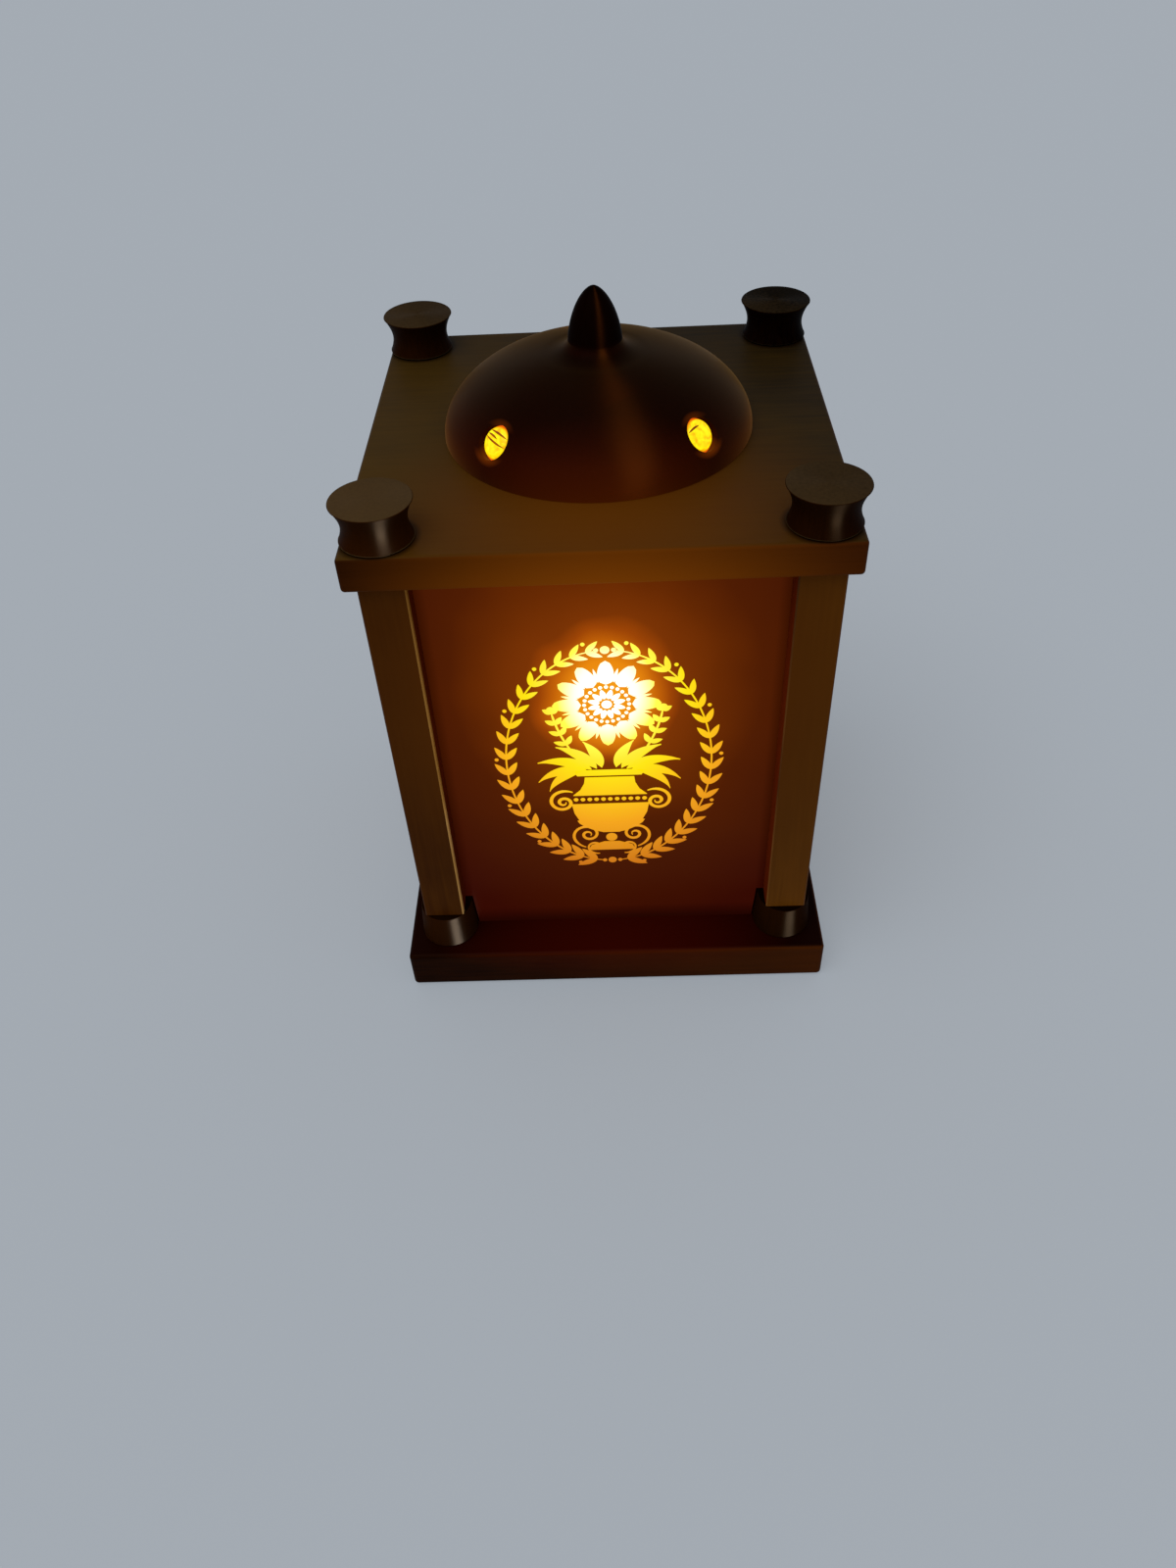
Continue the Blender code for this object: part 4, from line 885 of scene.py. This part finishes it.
def flower_design():
    """One panel's design in mm: a round flower over a footed vase between sprays, in an oval leaf wreath."""
    work = bmesh.new()
    height = 0.35
    flower = (0.0, 138.0)
    # Flower: broad outer petals, a bead ring, inner petals and an eye.
    for k in range(12):
        angle = 90 + 30 * k
        for start, length, width, turn, blunt in ((9.2, 10.6, 5.9, 0, 0.45), (10.5, 6.4, 1.3, 15, 0.8),
                                                  (2.6, 4.4, 2.2, 15, 0.6)):
            root = point_at(flower, radians(angle + turn), start)
            add_petal(work, root, angle + turn, length, width, height, blunt)
    for k in range(24):
        add_bead(work, point_at(flower, tau * k / 24, 8.1), 0.72, height)
    add_bead(work, flower, 1.9, height)
    # Vase: foot, knop, gadrooned bowl, bead band, neck and lip.
    add_plate(work, [(9.4, 62.0), (8.2, 64.6), (3.0, 66.6)], height)
    add_bead(work, (0.0, 69.0), 2.3, height)
    bowl = [(3.2, 72.0), (8.0, 74.0), (12.0, 78.0), (14.2, 83.0), (15.0, 88.0)]
    add_plate(work, bowl, height * 0.4)
    for k, lean in enumerate((-64, -43, -21, 0, 21, 43, 64)):
        length = (13.6, 14.6, 15.2, 15.4, 15.2, 14.6, 13.6)[k]
        add_petal(work, (0.35 * (k - 3), 72.8), 90 - lean, length, 4.4, height, 0.5)
    for k in range(11):
        add_bead(work, (2.65 * (k - 5), 90.4), 0.95, height)
    add_plate(work, [(14.2, 92.8), (11.4, 95.6), (9.8, 99.0), (9.4, 102.2)], height)
    add_plate(work, [(12.2, 103.2), (13.0, 104.6), (12.6, 106.0)], height)
    for side in (1, -1):
        turn = -side
        # Handles, a scroll at the foot, and the sprays that leave the vase's mouth.
        add_ribbon(work, spiral((side * 14.4, 94.6), 90 - side * 62, 6.8, 1.5, turn), 1.4, height)
        add_ribbon(work, spiral((side * 10.4, 63.6), 90 - side * 74, 7.4, 1.45, side), 1.2, height)
        for lean, length, curl, width in ((12, 15, 30, 4.4), (34, 19, 38, 4.6), (56, 21, 46, 4.6),
                                          (78, 20, 58, 4.2), (98, 17, 62, 3.8)):
            start = (side * (1.6 + lean / 11), 107.6 - lean / 50)
            add_ribbon(work, bend(start, 90 - side * lean, length, turn * curl), width, height, leaf=True)
        stem = bend((side * 8.0, 107.0), 90 - side * 38, 32.0, side * 30)
        add_ribbon(work, stem, 0.9, height)
        for k in (8, 11, 14, 17):
            before, here, ahead = stem[k - 1:k + 2]
            run = degrees(atan2(ahead[1] - before[1], ahead[0] - before[0]))
            for fork in (48, -48):
                add_petal(work, here, run + fork, 6.0 - 0.12 * k, 2.3, height, 0.8)
        add_bead(work, stem[-1], 1.6, height)
        add_ribbon(work, spiral((side * 5.0, 59.8), 90 - side * 104, 4.2, 1.4, side), 0.85, height)
    # Wreath: two stems from the bottom to the top, with leaves in pairs and a berry between some of them.
    middle, across, rise = 109.0, 38.5, 53.5
    for side in (1, -1):
        stem = []
        for k in range(61):
            angle = radians(-90 + side * (5 + 169 * k / 60))
            stem.append((across * cos(angle), middle + rise * sin(angle)))
        add_ribbon(work, stem, 0.7, height)
        for k in range(20):
            angle = radians(-90 + side * (9 + 161 * k / 19))
            root = (across * cos(angle), middle + rise * sin(angle))
            run = degrees(atan2(side * rise * cos(angle), -side * across * sin(angle)))
            size = 1.0 - 0.28 * k / 19
            for fork in (-34, 34):
                add_petal(work, root, run + fork, 8.8 * size, 3.0 * size, height, 0.8)
            if k % 3 == 1:
                add_bead(work, point_at(root, radians(run - 90 * side), 3.6), 0.8, height)
    for z in (middle - rise, middle + rise):
        add_bead(work, (0.0, z), 1.7, height)
        for side in (1, -1):
            add_bead(work, (side * 3.1, z), 0.9, height)
    bmesh.ops.scale(work, verts=work.verts, vec=(MM, MM, MM))
    return work


def make_panels(acrylic, lines):
    """The tinted sheets stay as they are, and each carries the design in clear lines on its outer face."""
    for side, turn in SIDES:
        dress(f"{side}_panel", acrylic)
        work = flower_design()
        bmesh.ops.translate(work, verts=work.verts, vec=(0, -PANEL_FACE - 0.02 * MM, 0))
        bmesh.ops.rotate(work, verts=work.verts, matrix=Matrix.Rotation(radians(turn), 3, "Z"))
        item = new_object(f"{side}_design", close_mesh(work, "design", 20))
        settle(item, "lantern", "amber_sheet", [lines])


def make_candle(wax):
    """The candle's shell with a softly melted rim."""
    outer = (CANDLE_HIGH.x - CANDLE_LOW.x) / 2
    inner = outer - CANDLE_WALL
    rim = 3 * MM
    low, top = CANDLE_LOW.z, CANDLE_HIGH.z
    dish = top - 4 * MM
    hole = FLAME_NECK + CLEARANCE
    profile = [(inner, low), (outer, low)]
    profile += arc((outer - rim, top - rim), rim, 0, 90, 8)
    profile += [(outer - 4.8 * MM, top - 0.75 * MM), (outer - 6.8 * MM, top - 2.3 * MM)]
    profile += [(outer - 9 * MM, dish + 0.75 * MM), (outer - 11.5 * MM, dish + 0.2 * MM)]
    profile += [(hole + rim, dish), (hole, dish), (hole, dish - CANDLE_WALL)]
    profile += [(inner - 2 * rim, dish - CANDLE_WALL), (inner, dish - CANDLE_WALL - rim)]
    work = turned(profile, TURNED_ROUND)
    # The rim sags as wax does near its flame.
    for vert in work.verts:
        share = (vert.co.z - (top - 1.5 * rim)) / (1.5 * rim)
        if share > 0 and vert.co.xy.length > hole + rim:
            swell = noise.noise(Vector((vert.co.x * RIM_WAVES, vert.co.y * RIM_WAVES, 4.2)))
            vert.co.z -= RIM_SAG * share * max(0.0, 0.4 + swell)
    shell = new_object("wax_look_shell", close_mesh(work, "shell", 50))
    settle(shell, "candle", "ivory_plastic", [wax], "candle_shell")


def dress(node, material):
    """Gives a frame node a better material in all its slots."""
    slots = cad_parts[node].data.materials
    if not slots:
        slots.append(material)
    for index in range(len(slots)):
        slots[index] = material


def add_lamp(name, kind, energy, place, target, **settings):
    """Adds a lamp that looks at a target."""
    data = bpy.data.lights.new(name, kind)
    data.energy = energy
    for key, value in settings.items():
        setattr(data, key, value)
    lamp = new_object(name, data)
    turn = (Vector(place) - Vector(target)).to_track_quat("Z", "Y").to_matrix().to_4x4()
    lamp.matrix_world = Matrix.Translation(place) @ turn
    return lamp


def make_stage(left_group, right_group, dome_group):
    """Pale floor, matched background, soft light and the camera."""
    floor_colour = "#a3aab2"
    work = bmesh.new()
    bmesh.ops.create_grid(work, x_segments=2, y_segments=2, size=8.0)
    mesh = bpy.data.meshes.new("floor")
    work.to_mesh(mesh)
    work.free()
    floor = new_object("studio_floor", mesh)
    material, tree, shader, _ = start_material("matt_floor_paint")
    plug(tree, shader, {"Base Color": floor_colour, "Roughness": 1.0, "Specular IOR Level": 0.0})
    # Seen by the camera, the floor keeps half of its shadow over the plain background colour.
    even = add(tree, "Emission", {"Color": floor_colour, "Strength": 1.0})
    half = add(tree, "Math", (add(tree, "LightPath").outputs["Is Camera Ray"], 0.5), operation="MULTIPLY")
    plug(tree, tree.nodes["Material Output"], {"Surface": add(tree, "MixShader", (half, shader, even))})
    mesh.materials.append(material)

    world = bpy.data.worlds.new("studio")
    world.use_nodes = True
    bpy.context.scene.world = world
    tree = world.node_tree
    soft = tree.nodes["Background"]
    plug(tree, soft, {"Color": "#ffffff", "Strength": 0.60})
    seen = add(tree, "Background", {"Color": floor_colour, "Strength": 1.0})
    ray = add(tree, "LightPath").outputs
    first = add(tree, "Math", (ray["Is Camera Ray"], ray["Is Glossy Ray"]), operation="MAXIMUM")
    direct = add(tree, "Math", (first, ray["Is Transmission Ray"]), operation="MAXIMUM")
    plug(tree, tree.nodes["World Output"], {"Surface": add(tree, "MixShader", (direct, soft, seen))})

    add_lamp("soft_key", "SUN", 1.5, (-0.3, -0.35, 1.0), (0, 0, 0), angle=radians(50))
    # Warm lights at the front right, kept off the flat boards, draw the highlights of the turned pieces:
    # from below on the front spools and collars, and leaning over the dome.
    below, middle = (0.385, -0.723, -0.574), (0, 0, 0)
    left = add_lamp("left_gleam", "SUN", 98.0, below, middle, angle=radians(28))
    right = add_lamp("right_gleam", "SUN", 31.0, below, middle, angle=radians(28))
    card = add_lamp("leaning_card", "AREA", 20.0, (0.175, -0.29, 0.475), (0.11, -0.022, 0.185),
                    shape="RECTANGLE", size=0.15, size_y=0.95)
    for lamp, group, colour in ((left, left_group, "#fff8ea"), (right, right_group, "#ffe9c8"),
                                (card, dome_group, "#ffb45a")):
        lamp.visible_camera = False
        lamp.visible_diffuse = False
        lamp.data.color = linear(colour)[:3]
        lamp.light_linking.receiver_collection = group
        lamp.light_linking.blocker_collection = group

    data = bpy.data.cameras.new("camera")
    data.sensor_fit = "VERTICAL"
    data.sensor_height = 24
    data.lens = FOCAL_PX / PHOTO_HEIGHT_PX * data.sensor_height
    data.clip_start = 0.01
    camera = new_object("camera", data)
    turns = ((-CAMERA_RIGHT_DEG, "Z"), (90 - CAMERA_DOWN_DEG, "X"), (CAMERA_ROLL_DEG, "Z"))
    yaw, pitch, roll = (Matrix.Rotation(radians(angle), 4, axis) for angle, axis in turns)
    camera.matrix_world = Matrix.Translation(CAMERA_PLACE) @ yaw @ pitch @ roll
    bpy.context.scene.camera = camera
    bpy.context.scene.view_settings.view_transform = "Standard"


left_group, right_group, dome_group = (bpy.data.collections.new(f"{name}_pieces")
                                       for name in ("left", "right", "dome"))
make_stage(left_group, right_group, dome_group)
# Each wood's side and top tones, and its lean, are painted light and shade as the light fell on that piece.
roof_wood = roof_stain_painted_shadow()
# The base's top is painted dark, a painted shade under the roof.
base_wood = stained_wood("base_board", ("#0c0200", "#3e1b03"), ("#0a0000", "#120200"), "X",
                         glow=0.05, reach=0.145, sheen=0.02, warm="#540b00")
post_wood = stained_wood("post", ("#2c0e00", "#643a0a"), ("#140800", "#301c08"), glow=0.09, reach=0.13)
# Painted shade on the posts' inner strips beside the panels.
shaded_wood = stained_wood("post_side_painted_shade", ("#4a1602", "#6a2406"), ("#140100", "#240500"), sheen=0.02)
# The collars' tops are painted dark, a painted shade under the posts.
collar_wood = stained_wood("collar", ("#0e0300", "#261002"), ("#040000", "#100400"), lathed=True, sheen=0.008)
spool_wood = stained_wood("spool", ("#030000", "#240e01"), ("#0a0602", "#3e2e1a"), lathed=True, sheen=0.008)
bright_edge = painted_edge_highlight("painted_highlight_bright_edge", ("#8a5e22", "#aa7c3a", "#cca060"))
faint_edge = painted_edge_highlight("painted_highlight_faint_edge", ("#442408", "#5a3410", "#6c441a"))
bowl_wood = dome_wood("turned_dome", bloom=0.30, sheen=0.010)
finial_wood = dome_wood("finial", bloom=0.0, sheen=0.006)
make_boards(base_wood, roof_wood)
make_posts(post_wood, shaded_wood, (bright_edge, faint_edge))
make_turnings(collar_wood, spool_wood, (left_group, right_group))
make_dome(bowl_wood, finial_wood, crinkled_film(), film_fold(), dome_group)
make_panels(amber_acrylic(), lit_cut_lines())
make_candle(moulded("ivory_pp_plastic", "#dccfae", "#e6dbbd", 0.42, 2.0, 0.03, ("#ffb860", 0.12)))
for material, nodes in (
    (moulded("frosted_flame_pp", "#f2d9a0", "#f7e6bd", 0.35, 1.2, 0.02, ("#ffb84a", 1.4)), ["flame"]),
    (moulded("black_abs", "#141414", "#1c1c1c", 0.5, 0.6, 0.02),
     ["candle_bottom", "battery_cover", "battery_box", "switch_housing"]),
    (moulded("pvc_battery_sleeve", "#23262b", "#2b2f35", 0.35, 3.0, 0.01),
     ["battery_1", "battery_2", "battery_3"]),
    (moulded("fibreglass_board", "#1c5233", "#226240", 0.45, 0.5, 0.02), ["circuit_board"]),
    (moulded("epoxy_led", "#f4e2b0", "#f9ecc6", 0.12, 2.0, 0.005, ("#ffd890", 1.6)), ["led"]),
    (moulded("grey_nylon", "#bcbcb6", "#c6c6c0", 0.5, 0.5, 0.02), ["switch_knob"]),
    (plated_steel(),
     ["top_contact", "spring_contact", "cover_screw"] + [f"base_screw_{number}" for number in range(1, 5)]),
    (beech(), [f"dowel_{number}" for number in range(1, 5)]),
    (roof_wood, ["dome_ring"]),
):
    for node in nodes:
        dress(node, material)
